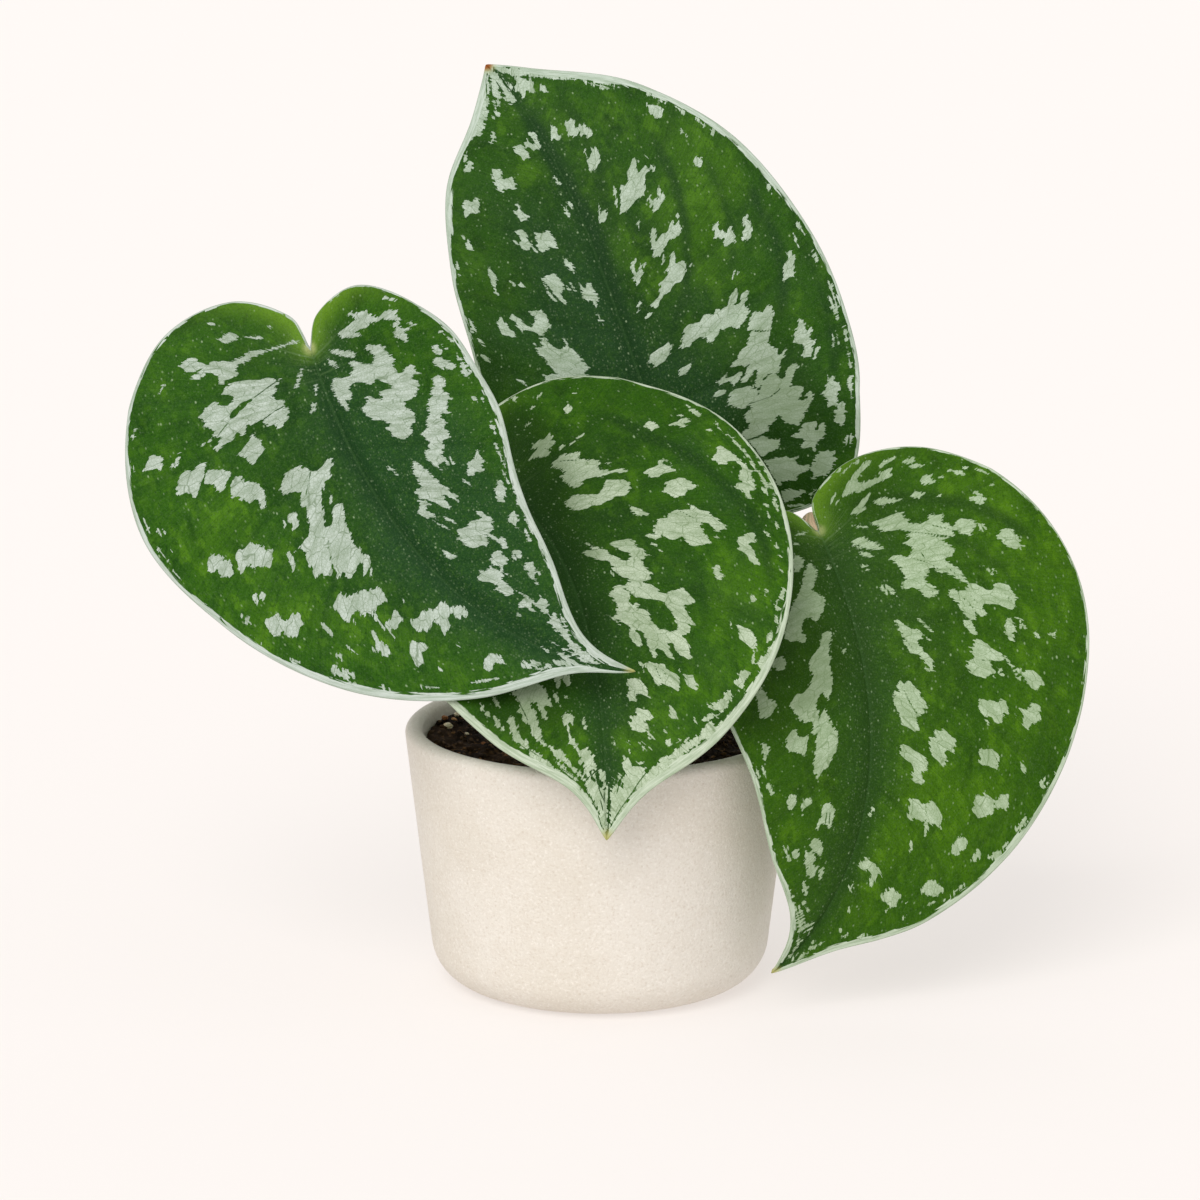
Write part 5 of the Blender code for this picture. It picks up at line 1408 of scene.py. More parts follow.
    pale = s.mix(1.0, pale, SILVER_TINT[leaf], "MULTIPLY")
    # The same painted shade and painted shadow darken the silver there.
    pale = s.mix(s.calc("MULTIPLY", s.ramp(deep, 0.05, 0.95), 0.58), pale, (0.130, 0.185, 0.090))
    colour = s.mix(silver, green, pale)
    colour = s.mix(s.ramp(s.attribute("tip"), 0.38, 0.95), colour, (0.395, 0.385, 0.140))
    brown = s.calc("MULTIPLY", s.ramp(s.attribute("tip"), 0.55, 0.85), s.attribute("brown"))
    colour = s.mix(brown, colour, (0.260, 0.085, 0.022))
    colour = s.mix(s.ramp(s.attribute("tip"), 0.88, 1.0), colour, (0.200, 0.090, 0.030))
    rough = s.ramp(silver, 0.0, 1.0, 0.38, 0.50)
    rough = s.calc("ADD", rough, s.calc("MULTIPLY", s.calc("SUBTRACT", fine, 0.5), 0.16))
    height = s.calc("ADD", s.calc("MULTIPLY", s.noise(flat, 2.6, 4.0, 0.65), 0.7),
                    s.calc("MULTIPLY", lines, 0.5))
    height = s.calc("ADD", height, s.ramp(s.attribute("silver"), -0.2, 0.25, 0.0, 0.25))
    return s.finish(colour, rough, s.bump(height, 0.00016, 0.9))


def blade_under():
    s = Shade("blade_under", Sheen_Weight=0.08, Sheen_Roughness=0.5, Specular_IOR_Level=0.32)
    veins, flat = s.attribute("veins", True), s.attribute("flat", True)
    clouds = s.noise(s.stretch(veins, (0.05, 0.11, 1.0)), 1.0, 3.0, 0.55)
    green = s.mix(s.ramp(clouds, 0.32, 0.68), (0.120, 0.205, 0.085), (0.185, 0.285, 0.120))
    fine = s.noise(flat, 1.3, 4.0, 0.62)
    green = s.mix(s.ramp(fine, 0.35, 0.70, 0.0, 0.40), green, (0.235, 0.330, 0.165))
    vein = s.ramp(s.attribute("veinline"), 0.8, 0.1)
    green = s.mix(s.calc("MULTIPLY", vein, 0.55), green, (0.270, 0.360, 0.185))
    midline = s.ramp(s.attribute("midline"), 0.0, 1.0)
    green = s.mix(s.calc("MULTIPLY", midline, 0.85), green, (0.330, 0.400, 0.200))
    at_rim = s.calc("SUBTRACT", s.calc("MULTIPLY", s.attribute("band"), 0.8), s.attribute("rim"))
    edge = s.noise(s.stretch(veins, (0.20, 0.55, 1.0), (7.3, 2.1, 0.0)), 1.0, 4.0, 0.65)
    edge = s.calc("MULTIPLY", s.calc("SUBTRACT", edge, 0.5), 2.0)
    band = s.ramp(s.calc("ADD", at_rim, edge), -0.15, 0.15)
    colour = s.mix(s.calc("MULTIPLY", band, 0.75), green, (0.50, 0.55, 0.42))
    colour = s.mix(s.ramp(s.attribute("tip"), 0.25, 0.85), colour, (0.42, 0.36, 0.12))
    height = s.calc("ADD", s.noise(flat, 2.2, 4.0, 0.65), s.calc("MULTIPLY", vein, 0.6))
    return s.finish(colour, s.ramp(fine, 0.3, 0.7, 0.50, 0.64), s.bump(height, 0.00015, 0.8))


def pot_ceramic():
    s = Shade("pot_cream_ceramic", Specular_IOR_Level=0.28)
    place = s.place()
    broad = s.noise(place, 28.0, 3.0, 0.5)
    colour = s.mix(s.ramp(broad, 0.35, 0.65), (0.705, 0.653, 0.572), (0.752, 0.706, 0.636))
    grain = s.noise(place, 1350.0, 3.0, 0.72)
    colour = s.mix(s.ramp(grain, 0.52, 0.72, 0.0, 0.46), colour, (0.560, 0.475, 0.385))
    colour = s.mix(s.ramp(grain, 0.47, 0.30, 0.0, 0.50), colour, (0.920, 0.875, 0.815))
    dots = s.cells(place, 420.0)
    dot = s.calc("MULTIPLY", s.ramp(dots.outputs["Distance"], 0.20, 0.08), s.ramp(s.red(dots.outputs["Color"]), 0.66, 0.85))
    colour = s.mix(s.calc("MULTIPLY", dot, 0.28), colour, (0.460, 0.365, 0.275))
    mid = s.noise(place, 260.0, 4.0, 0.65)
    colour = s.mix(s.ramp(mid, 0.42, 0.70, 0.0, 0.12), colour, (0.610, 0.530, 0.440))
    height = s.calc("ADD", grain, s.calc("MULTIPLY", mid, 0.8))
    return s.finish(colour, s.ramp(mid, 0.3, 0.7, 0.58, 0.72), s.bump(height, 0.00030, 0.9))


def mix_material():
    s = Shade("potting_mix_peat", Specular_IOR_Level=0.08)
    place, tone = s.place(), s.attribute("tone")
    broad = s.noise(place, 120.0, 4.0, 0.6)
    fine = s.noise(place, 900.0, 4.0, 0.7)
    colour = s.mix(s.ramp(broad, 0.36, 0.66), (0.0065, 0.0036, 0.0020), (0.034, 0.0185, 0.0095))
    colour = s.mix(s.ramp(fine, 0.52, 0.74, 0.0, 0.6), colour, (0.125, 0.072, 0.040))
    crumbs = s.cells(s.stretch(place, (700.0, 560.0, 620.0)), 1.0)
    crumb = s.calc("MULTIPLY", s.ramp(crumbs.outputs["Distance"], 0.52, 0.18), s.ramp(s.red(crumbs.outputs["Color"]), 0.50, 0.92))
    colour = s.mix(s.calc("MULTIPLY", crumb, 0.62), colour, (0.165, 0.098, 0.056))
    colour = s.mix(s.ramp(tone, 0.50, 0.95), colour, (0.200, 0.105, 0.048))
    colour = s.mix(s.ramp(tone, 0.97, 1.0), colour, (0.560, 0.300, 0.150))
    height = s.calc("ADD", s.calc("ADD", s.calc("MULTIPLY", broad, 0.6), fine), s.calc("MULTIPLY", crumb, 0.8))
    return s.finish(colour, s.ramp(fine, 0.3, 0.7, 0.85, 0.97), s.bump(height, 0.0006, 1.0))


def stalk_material(name, base, tip, shade):
    """base and tip colours blend along the piece; shade is the colour of its fine stripes."""
    s = Shade(name, Specular_IOR_Level=0.40, Sheen_Weight=0.05)
    run = s.attribute("run", True)
    along = s.attribute("along")
    stripes = s.noise(s.stretch(run, (0.10, 2.6, 1.0)), 1.0, 4.0, 0.62)
    blotch = s.noise(s.stretch(run, (0.35, 0.6, 1.0), (3.0, 0.0, 0.0)), 1.0, 3.0, 0.6)
    colour = s.mix(s.ramp(along, 0.70, 0.93), base, tip)
    colour = s.mix(s.ramp(stripes, 0.42, 0.72, 0.0, 0.65), colour, shade)
    colour = s.mix(s.ramp(blotch, 0.56, 0.74, 0.0, 0.45), colour, tip)
    fine = s.noise(s.place(), 2600.0, 3.0, 0.6)
    height = s.calc("ADD", stripes, s.calc("MULTIPLY", fine, 0.4))
    return s.finish(colour, s.ramp(blotch, 0.3, 0.7, 0.42, 0.60), s.bump(height, 0.00022, 0.8))


def grain_material(name, dark, mid, light):
    s = Shade(name, Specular_IOR_Level=0.25)
    place = s.place()
    broad = s.noise(place, 900.0, 4.0, 0.65)
    fine = s.noise(place, 4200.0, 3.0, 0.7)
    colour = s.mix(s.ramp(broad, 0.35, 0.65), dark, mid)
    colour = s.mix(s.ramp(fine, 0.45, 0.70), colour, light)
    pits = s.cells(place, 2600.0)
    colour = s.mix(s.ramp(pits.outputs["Distance"], 0.20, 0.05, 0.0, 0.6), colour, dark)
    height = s.calc("ADD", broad, s.calc("MULTIPLY", pits.outputs["Distance"], 0.8))
    return s.finish(colour, s.ramp(fine, 0.3, 0.7, 0.80, 0.95), s.bump(height, 0.0003, 0.9))


def root_material():
    s = Shade("root_fibre_matted", Specular_IOR_Level=0.25)
    place = s.place()
    threads = s.noise(s.stretch(place, (260.0, 260.0, 900.0)), 1.0, 5.0, 0.7, 1.6)
    colour = s.mix(s.ramp(threads, 0.38, 0.62), (0.150, 0.098, 0.055), (0.430, 0.340, 0.215))
    soil = s.noise(place, 160.0, 4.0, 0.6)
    colour = s.mix(s.ramp(soil, 0.52, 0.70), colour, (0.030, 0.018, 0.011))
    return s.finish(colour, s.ramp(soil, 0.3, 0.7, 0.80, 0.95), s.bump(threads, 0.0009, 0.9))


def floor_material():
    s = Shade("floor_pale", Specular_IOR_Level=0.10)
    place = s.place()
    broad = s.noise(place, 1.3, 2.0, 0.5)
    colour = s.mix(s.ramp(broad, 0.3, 0.7), FLOOR_COLOUR, tuple(c * 1.004 for c in FLOOR_COLOUR))
    s.shader.inputs["Emission Color"].default_value = (*FLOOR_GLOW, 1.0)
    s.shader.inputs["Emission Strength"].default_value = 1.0
    return s.finish(colour, 0.9)


# ================================================================ blades
def blade_turn(leaf):
    roll, pitch, yaw = (math.radians(leaf[k]) for k in ("roll", "pitch", "yaw"))
    quarter = math.pi / 2
    turn = (Matrix.Rotation(yaw, 3, "Z") @ Matrix.Rotation(quarter - pitch, 3, "X")
            @ Matrix.Rotation(roll - quarter, 3, "Z"))
    return np.array([list(row) for row in turn])


def midrib(leaf, steps=48):
    frame_now, point = Matrix.Identity(3), Vector((0, 0, 0))
    points, frames = [point], [frame_now]
    for i in range(steps):
        droop, sickle, twist = (math.radians(a + b * (i + 0.5) / steps) / steps
                                for a, b in (leaf["droop"], leaf["sickle"], leaf["twist"]))
        spin = frame_now @ Vector((-droop, twist, sickle))
        half = Matrix.Rotation(spin.length / 2, 3, spin)
        point = point + (half @ frame_now).col[1] * (leaf["length"] / steps)
        frame_now = half @ half @ frame_now
        points.append(point)
        frames.append(frame_now)
    return np.array(points), np.array([[list(row) for row in f] for f in frames])


def bend_blade(leaf, flat):
    """Flat blade points (shares of the length) to places on the bent blade, in mm."""
    points, frames = midrib(leaf)
    length, last = leaf["length"], len(points) - 1
    across, run = flat[:, 0] * length, flat[:, 1]
    on = np.clip(run, 0.0, 1.0)
    i = np.minimum((on * last).astype(int), last - 1)
    w = (on * last - i)[:, None]
    base = points[i] * (1 - w) + points[i + 1] * w
    turn = frames[i] * (1 - w[..., None]) + frames[i + 1] * w[..., None]
    back = np.minimum(run, 0.0) * length
    side = np.where(across > 0, 0, 1)
    lift = np.radians(np.array(leaf["fold"])[side]) * (1 - 0.35 * on)
    bend = np.radians(np.array(leaf["curl"])[side]) / length
    reach = np.abs(across)
    chord = reach * np.sinc(bend * reach / 2 / math.pi)
    angle = lift + bend * reach / 2
    up = chord * np.sin(angle) + leaf["lobe_droop"] * back ** 2 / length
    return (base + turn[:, :, 1] * back[:, None]
            + turn[:, :, 0] * (np.sign(across) * chord * np.cos(angle))[:, None]
            + turn[:, :, 2] * up[:, None])


def half_outline(leaf, side, count):
    heart = np.array(HEART)
    pushed = heart.copy()
    for k, percent in enumerate(leaf[side], start=1):
        t = heart[k + 1] - heart[k - 1]
        t /= np.linalg.norm(t)
        pushed[k] += np.array([t[1], -t[0]]) * percent / 100
    if side == "far_side":
        pushed[:, 0] *= -1
    return even_steps(smooth_curve(pushed, 60), count)


def zone(photo, spots):
    total = np.zeros(len(photo))
    for x, y, reach, strength in spots:
        total += strength * np.exp(-((photo[:, 0] - x) ** 2 + (photo[:, 1] - y) ** 2) / (1.25 * reach) ** 2)
    return np.clip(total, 0.0, 1.0)


class Grid:
    """Points of a blade in rows from the notch to the tip that follow the side veins."""

    def __init__(self, leaf, rows, columns, power):
        self.leaf, self.rows, self.columns = leaf, rows, columns
        self.wide = 2 * columns + 1
        t = np.arange(1, rows) / rows
        root = np.stack([0 * t, 0.12 * t + 0.88 * t ** 2.8], 1)[:, None]
        s = ((np.arange(columns + 1) / columns) ** power)[None, :, None]
        halves, self.edges = [], []
        for side in ("far_side", "near_side"):
            edge = half_outline(leaf, side, rows + 1)
            self.edges.append(edge)
            end = edge[1:-1][:, None]
            knee = np.concatenate([0.55 * end[..., :1], root[..., 1:] + 0.30 * (end[..., 1:] - root[..., 1:])], 2)
            halves.append(root * (1 - s) ** 2 + knee * 2 * s * (1 - s) + end * s * s)
        self.flat = np.concatenate([halves[0][:, :0:-1], halves[1]], 1)
        share = s[0, :, 0]
        self.share = np.broadcast_to(np.concatenate([share[:0:-1], share])[None], self.flat.shape[:2])
        self.t = np.broadcast_to(t[:, None], self.flat.shape[:2])
        step = np.linalg.norm(np.diff(self.flat, axis=1), axis=2) * leaf["length"]
        mid = columns
        along = np.zeros(self.flat.shape[:2])
        along[:, mid + 1:] = np.cumsum(step[:, mid:], 1)
        along[:, :mid] = np.cumsum(step[:, :mid][:, ::-1], 1)[:, ::-1]
        self.along = along
        self.place = bend_blade(leaf, self.flat.reshape(-1, 2)).reshape(*self.flat.shape[:2], 3)
        across = np.gradient(self.place, axis=1)
        down = np.gradient(self.place, axis=0)
        normal = np.cross(across, down)
        self.normal = normal / np.maximum(np.linalg.norm(normal, axis=2, keepdims=True), 1e-9)

    def side(self):
        return np.where(np.arange(self.wide) >= self.columns, 1, 0)[None, :].repeat(self.flat.shape[0], 0)


def vein_phase(grid, count, seed):
    """How many side veins lie between the notch and each row, with uneven spacing."""
    rng = np.random.default_rng(seed)
    marks = np.linspace(0.02, 1.0, count + 1) ** 0.92
    out = []
    for _ in range(2):
        knots = marks.copy()
        knots[1:-1] += rng.uniform(-0.18, 0.18, count - 1) * np.diff(marks)[:-1]
        out.append(knots)
    side = grid.side()
    phase = np.where(side == 1, np.interp(grid.t, out[1], np.arange(count + 1)),
                     np.interp(grid.t, out[0], np.arange(count + 1)))
    return phase


QUILT = {3: 0.42, 5: 0.62, 8: 1.00, 13: 0.70}


def relief(grid, phase, seed, length):
    """Height in mm of the upper surface's swells over the blade's middle surface."""
    x, y = grid.flat[..., 0] * length, grid.flat[..., 1] * length
    swell = 0.45 * lattice_noise(x + 300, y + 300, 17.0, seed) + 0.20 * lattice_noise(x + 300, y + 300, 7.5, seed + 1)
    swell = swell * smoothstep(0.0, 0.3, grid.share)
    between = np.abs(np.sin(np.pi * phase))
    quilt = QUILT[seed] * (between ** 0.8 - 0.62)
    quilt = quilt * smoothstep(0.04, 0.30, grid.share) * (1 - smoothstep(0.72, 1.0, grid.share))
    return swell + quilt * (1 - smoothstep(0.80, 1.0, grid.t))


def signed_marks(points, outlines, strokes, least=0.0, reach=16.0):
    """How far inside (above 0) or outside the nearest mark each point is, in the photo's pixels."""
    best = np.full(len(points), -reach)
    for outline in outlines:
        a = np.array(outline, float).reshape(-1, 2)
        b = np.roll(a, -1, 0)
        at = np.nonzero(((points > a.min(0) - reach) & (points < a.max(0) + reach)).all(1))[0]
        if not len(at):
            continue
        p, ab = points[at], b - a
        ap = p[:, None] - a[None]
        w = np.clip((ap * ab).sum(-1) / np.maximum((ab ** 2).sum(-1), 1e-9), 0, 1)
        far = np.linalg.norm(ap - w[..., None] * ab, axis=-1).min(1)
        crosses = (a[None, :, 1] > p[:, None, 1]) != (b[None, :, 1] > p[:, None, 1])
        rise = np.where(np.abs(ab[:, 1]) < 1e-9, 1e-9, ab[:, 1])
        at_x = a[None, :, 0] + (p[:, None, 1] - a[None, :, 1]) / rise * ab[:, 0]
        inside = ((crosses & (p[:, None, 0] < at_x)).sum(1) % 2).astype(bool)
        best[at] = np.maximum(best[at], np.where(inside, far, -far))
    for x0, y0, x1, y1, wide in strokes:
        a, b = np.array((x0, y0), float), np.array((x1, y1), float)
        lo, hi = np.minimum(a, b) - reach, np.maximum(a, b) + reach
        at = np.nonzero(((points > lo) & (points < hi)).all(1))[0]
        if not len(at):
            continue
        ab, ap = b - a, points[at] - a
        w = np.clip((ap @ ab) / max(ab @ ab, 1e-9), 0, 1)
        far = np.linalg.norm(ap - w[:, None] * ab, axis=1)
        half = max(wide / 2, least) * (1 - 0.35 * np.abs(2 * w - 1) ** 3)
        best[at] = np.maximum(best[at], half - far)
    return best


def groove_depth(photo, lines):
    """How deep in a groove each point lies, from 0 beside it to the groove's strength at its middle."""
    depth = np.zeros(len(photo))
    for wide, strength, *way in lines:
        way = np.array(way, float).reshape(-1, 2)
        steps = np.linalg.norm(np.diff(way, axis=0), axis=1)
        begin = np.concatenate([[0.0], np.cumsum(steps)])
        nearest, at = np.full(len(photo), 1e9), np.zeros(len(photo))
        for a, b, before, step in zip(way[:-1], way[1:], begin[:-1], steps):
            w = np.clip(((photo - a) @ (b - a)) / step ** 2, 0, 1)
            far = np.linalg.norm(photo - a - w[:, None] * (b - a), axis=1)
            closer = far < nearest
            nearest = np.where(closer, far, nearest)
            at = np.where(closer, (before + w * step) / begin[-1], at)
        ends = smoothstep(0.0, 0.15, at) * (1 - smoothstep(0.78, 1.0, at))
        depth = np.maximum(depth, strength * ends * np.exp(-(nearest / wide) ** 2))
    return depth


def inside_outline(points, outline):
    a, b = outline, np.roll(outline, -1, 0)
    at = np.nonzero(((points > a.min(0)) & (points < a.max(0))).all(1))[0]
    out = np.zeros(len(points), bool)
    p = points[at]
    rise = np.where(np.abs(b[:, 1] - a[:, 1]) < 1e-9, 1e-9, b[:, 1] - a[:, 1])
    crosses = (a[None, :, 1] > p[:, None, 1]) != (b[None, :, 1] > p[:, None, 1])
    at_x = a[None, :, 0] + (p[:, None, 1] - a[None, :, 1]) / rise * (b[:, 0] - a[:, 0])
    out[at] = (crosses & (p[:, None, 0] < at_x)).sum(1) % 2 == 1
    return out


def blade_silhouette(name):
    leaf = LEAVES[name]
    edge = np.vstack([half_outline(leaf, "near_side", 90), half_outline(leaf, "far_side", 90)[::-1]])
    world = bend_blade(leaf, edge) @ blade_turn(leaf).T + np.array(leaf["joint"])
    return to_photo(world)


def guessed_marks(grid, hidden, seed, length):
    """Marks for what the photograph doesn't show: patches stretched along the veins."""
    rng = np.random.default_rng(seed)
    best = np.full(hidden.shape, -4.0)
    flat = grid.flat * length
    tangent = np.gradient(flat, axis=1)
    tangent /= np.maximum(np.linalg.norm(tangent, axis=2, keepdims=True), 1e-9)
    rows, wide = hidden.shape
    for _ in range(150):
        i, j = rng.integers(6, rows - 6), rng.integers(4, wide - 4)
        share = grid.share[i, j]
        long_mm = rng.uniform(1.2, 6.0) * (1.0 if rng.random() < 0.55 else 0.5)
        wide_mm = long_mm * rng.uniform(0.30, 0.62)
        if not hidden[i, j] or share < 0.22:
            continue
        d = flat - flat[i, j]
        t = tangent[i, j]
        u, v = d @ t, d @ np.array([-t[1], t[0]])
        jag = 0.25 * lattice_noise(v * 9 + 500, u * 0 + 500, 2.0, seed + 7) * wide_mm
        body = (1 - np.sqrt(((u + jag * 2) / long_mm) ** 2 + (v / wide_mm) ** 2)) * wide_mm
        if (hidden[body > 0].mean() if (body > 0).any() else 0) < 0.93:
            continue
        best = np.maximum(best, body)
    return best


def rim_distance(grid, length):
    out = np.full(grid.flat.shape[:2], 30.0)
    for k, edge in enumerate(grid.edges):
        pick = (grid.side() == k) & ((grid.share > 0.45) | (grid.t < 0.22))
        p = grid.flat[pick] * length
        e = edge * length
        found = []
        for start in range(0, len(p), 6000):
            d = p[start:start + 6000, None] - e[None]
            found.append(np.sqrt((d ** 2).sum(-1).min(1)))
        out[pick] = np.concatenate(found)
    return out


def band_width(photo_points, controls):
    c = np.array(controls, float)
    d = np.linalg.norm(photo_points[:, None] - c[None, :, :2], axis=2)
    w = 1 / np.maximum(d, 3.0) ** 3
    width = (w * c[None, :, 2]).sum(1) / w.sum(1)
    # Far from every control point the margin keeps a plain width.
    return np.where(d.min(1) > 90, 4.0, width) / 3.82


def add_blade(name, seed, veins_per_side, materials):
    leaf = LEAVES[name]
    length = leaf["length"]
    turn, joint = blade_turn(leaf), np.array(leaf["joint"])
    world = lambda p: p @ turn.T + joint

    top = Grid(leaf, BLADE_ROWS, BLADE_COLUMNS, 1.12)
    low = Grid(leaf, BLADE_ROWS, UNDER_COLUMNS, 1.25)
    points, attributes = [], {}
    packs = []
    for grid, upper in ((top, True), (low, False)):
        phase = vein_phase(grid, veins_per_side, seed)
        height = relief(grid, phase, seed, length)
        reach = np.abs(grid.flat[..., 0]) * length
        taper = 1 - 0.82 * np.clip(grid.flat[..., 1], 0, 1)
        half = 0.26 - 0.10 * smoothstep(0.85, 1.0, grid.share)
        if upper:
            groove = 0.30 * np.exp(-(reach / (0.75 * (0.4 + 0.6 * taper))) ** 2) * (0.35 + 0.65 * taper)
            lift = height + half - groove
        else:
            ridge = 0.85 * np.exp(-(reach / (1.25 * (0.35 + 0.65 * taper))) ** 2) * (0.25 + 0.75 * taper)
            side_rib = 0.22 * np.exp(-((np.abs((phase + 0.5) % 1 - 0.5)) / 0.06) ** 2) \
                * smoothstep(0.02, 0.12, grid.share) * (1 - smoothstep(0.55, 0.95, grid.share))
            lift = height - half - ridge - side_rib
        placed = world((grid.place + grid.normal * lift[..., None]).reshape(-1, 3))
        middle = world(grid.place.reshape(-1, 3))
        photo = to_photo(middle)
        rim = rim_distance(grid, length)
        margins = photo.reshape(*rim.shape, 2)
        width_low = band_width(margins[:, 0], BANDS[name])
        width_high = band_width(margins[:, -1], BANDS[name])
        band = np.where(grid.side() == 1, width_high[:, None], width_low[:, None])
        spacing = np.gradient(np.linalg.norm(grid.flat[:, -1] * length, axis=1))
        row_step = np.linalg.norm(np.gradient(grid.flat * length, axis=0), axis=2)
        phase_step = np.maximum(np.abs(np.gradient(phase, axis=0)), 1e-6)
        vein_mm = np.abs((phase + 0.5) % 1 - 0.5) / phase_step * row_step
        outline_mm = sum(np.linalg.norm(np.diff(e, axis=0), axis=1).sum() for e in grid.edges) / 2 * length
        side_shift = np.where(grid.side() == 1, 0.0, 400.0)
        data = {
            "veins": np.stack([grid.along + side_shift, grid.t * outline_mm, np.full(rim.shape, seed * 3.7)], 2).reshape(-1, 3),
            "flat": np.concatenate([grid.flat * length, np.full((*rim.shape, 1), seed * 5.3)], 2).reshape(-1, 3),
            "edgeway": np.stack([grid.t * outline_mm + side_shift, rim, np.full(rim.shape, seed * 2.9)], 2).reshape(-1, 3),
            "outward": grid.share.ravel().astype(float),
            "warm": np.full(rim.size, WARM[name]),
            "cool_and_shade": zone(photo, COOL_AND_SHADE[name]) if upper else np.zeros(rim.size),
            "yellow_and_lit": zone(photo, YELLOW_AND_LIT[name]) if upper else np.zeros(rim.size),
            "deep": zone(photo, PAINTED_SHADE[name]) if upper else np.zeros(rim.size),
            "groove": groove_depth(photo, SHADED_GROOVES[name]) if upper else np.zeros(rim.size),
            "notch": np.exp(-np.hypot(grid.flat[..., 0], grid.flat[..., 1]).ravel() * length / 9.0),
            "brown": np.full(rim.size, 1.0 if name == "leaf_top" else 0.0),
            "rim": rim.ravel(),
            "band": band.ravel(),
            "rib": (np.exp(-(reach / (9.0 * (0.30 + 0.70 * taper))) ** 2)
                    * smoothstep(-0.09, 0.07, grid.flat[..., 1])).ravel(),
            "midline": (np.exp(-(reach / 0.42) ** 2) * (1 - 0.6 * np.clip(grid.flat[..., 1], 0, 1))).ravel(),
            "veinline": np.minimum(vein_mm / VEINED[name], 9.0).ravel(),
            "tip": (1 - np.clip(np.linalg.norm(grid.flat * length - (0, length), axis=2) / 6.0, 0, 1)).ravel(),
            "sinus": (np.exp(-(np.hypot(grid.flat[..., 0], grid.flat[..., 1] + 0.04) / 0.19) ** 2)
                      * np.exp(-(rim / 4.6) ** 1.5)
                      * (1 - smoothstep(-0.02, 0.10, grid.flat[..., 1]))).ravel(),
        }
        if upper:
            outlines, strokes, cracks = MARKS[name]
            silver = signed_marks(photo, outlines, strokes, least=0.95) / 3.82
            crack = signed_marks(photo, (), cracks, least=0.65) / 3.82
            hidden = np.zeros(len(photo), bool)
            for other in IN_FRONT[name]:
                hidden |= inside_outline(photo, blade_silhouette(other))
            hidden = hidden.reshape(rim.shape)
            guessed = guessed_marks(grid, hidden, seed + 50, length).ravel()
            silver = np.where(hidden.ravel(), guessed, silver)
            steps = np.gradient(np.where(grid.side() == 1, grid.along, -grid.along), axis=1)
            ends = np.abs(np.gradient(silver.reshape(rim.shape), axis=1) / np.maximum(np.abs(steps), 1e-6))
            ends = np.clip(ends, 0.0, 1.0).ravel()
        else:
            silver, crack, ends = np.full(len(photo), -4.0), np.full(len(photo), -4.0), np.zeros(len(photo))
        data["silver"], data["crack"], data["ends"] = silver, crack, ends
        packs.append((grid, placed, data))

    def pole(end, upper):
        """The single point at the notch or the tip."""
        grid = top if upper else low
        at = bend_blade(leaf, np.array([[0.0, end]]))[0]
        row = 0 if end == 0 else -1
        normal = grid.normal[row].mean(0)
        return world((at + normal / np.linalg.norm(normal) * (0.2 if upper else -0.2))[None])[0]

    rows = BLADE_ROWS - 1
    tw, lw = top.wide, low.wide
    n_top, n_low = rows * tw, rows * lw
    rim_points, rim_data = [], {}
    for column in (0, -1):
        out = top.place[:, column] - top.place[:, 1 if column == 0 else -2]
        out /= np.maximum(np.linalg.norm(out, axis=1, keepdims=True), 1e-9)
        height = relief(top, vein_phase(top, veins_per_side, seed), seed, length)[:, column]
        rim_points.append(world(top.place[:, column] + out * 0.13 + top.normal[:, column] * height[:, None]))
    points = np.vstack([packs[0][1], packs[1][1], *rim_points,
                        [pole(0, True), pole(1, True), pole(0, False), pole(1, False)]])
    for key in packs[0][2]:
        parts = [packs[0][2][key], packs[1][2][key]]
        t = packs[0][2][key].reshape(rows, tw, -1)
        parts += [t[:, 0].reshape(rows, *parts[0].shape[1:]), t[:, -1].reshape(rows, *parts[0].shape[1:])]
        poles = [t[0, top.columns], t[-1, top.columns]] * 2
        parts.append(np.array(poles).reshape(4, *parts[0].shape[1:]))
        attributes[key] = np.concatenate(parts)

    i, j = np.meshgrid(np.arange(rows - 1), np.arange(tw - 1), indexing="ij")
    a = (i * tw + j).ravel()
    upper_quads = np.stack([a, a + 1, a + tw + 1, a + tw], 1)
    i, j = np.meshgrid(np.arange(rows - 1), np.arange(lw - 1), indexing="ij")
    a = n_top + (i * lw + j).ravel()
    under_quads = np.stack([a, a + lw, a + lw + 1, a + 1], 1)
    k = np.arange(rows - 1)
    rim_low, rim_high = n_top + n_low, n_top + n_low + rows
    t_low, t_high = k * tw, k * tw + tw - 1
    b_low, b_high = n_top + k * lw, n_top + k * lw + lw - 1
    rim_quads = np.vstack([
        np.stack([t_high, rim_high + k, rim_high + k + 1, t_high + tw], 1),
        np.stack([rim_high + k, b_high, b_high + lw, rim_high + k + 1], 1),
        np.stack([t_low + tw, rim_low + k + 1, rim_low + k, t_low], 1),
        np.stack([rim_low + k + 1, b_low + lw, b_low, rim_low + k], 1)])
    base = n_top + n_low + 2 * rows
    notch_t, tip_t, notch_b, tip_b = base, base + 1, base + 2, base + 3
    jj = np.arange(tw - 1)
    last = (rows - 1) * tw
    upper_tris = [(notch_t, int(x) + 1, int(x)) for x in jj] + [(last + int(x), last + int(x) + 1, tip_t) for x in jj]
    jj = np.arange(lw - 1)
    last_b = n_top + (rows - 1) * lw
    under_tris = [(notch_b, n_top + int(x), n_top + int(x) + 1) for x in jj] \
        + [(last_b + int(x) + 1, last_b + int(x), tip_b) for x in jj]
    e = rows - 1
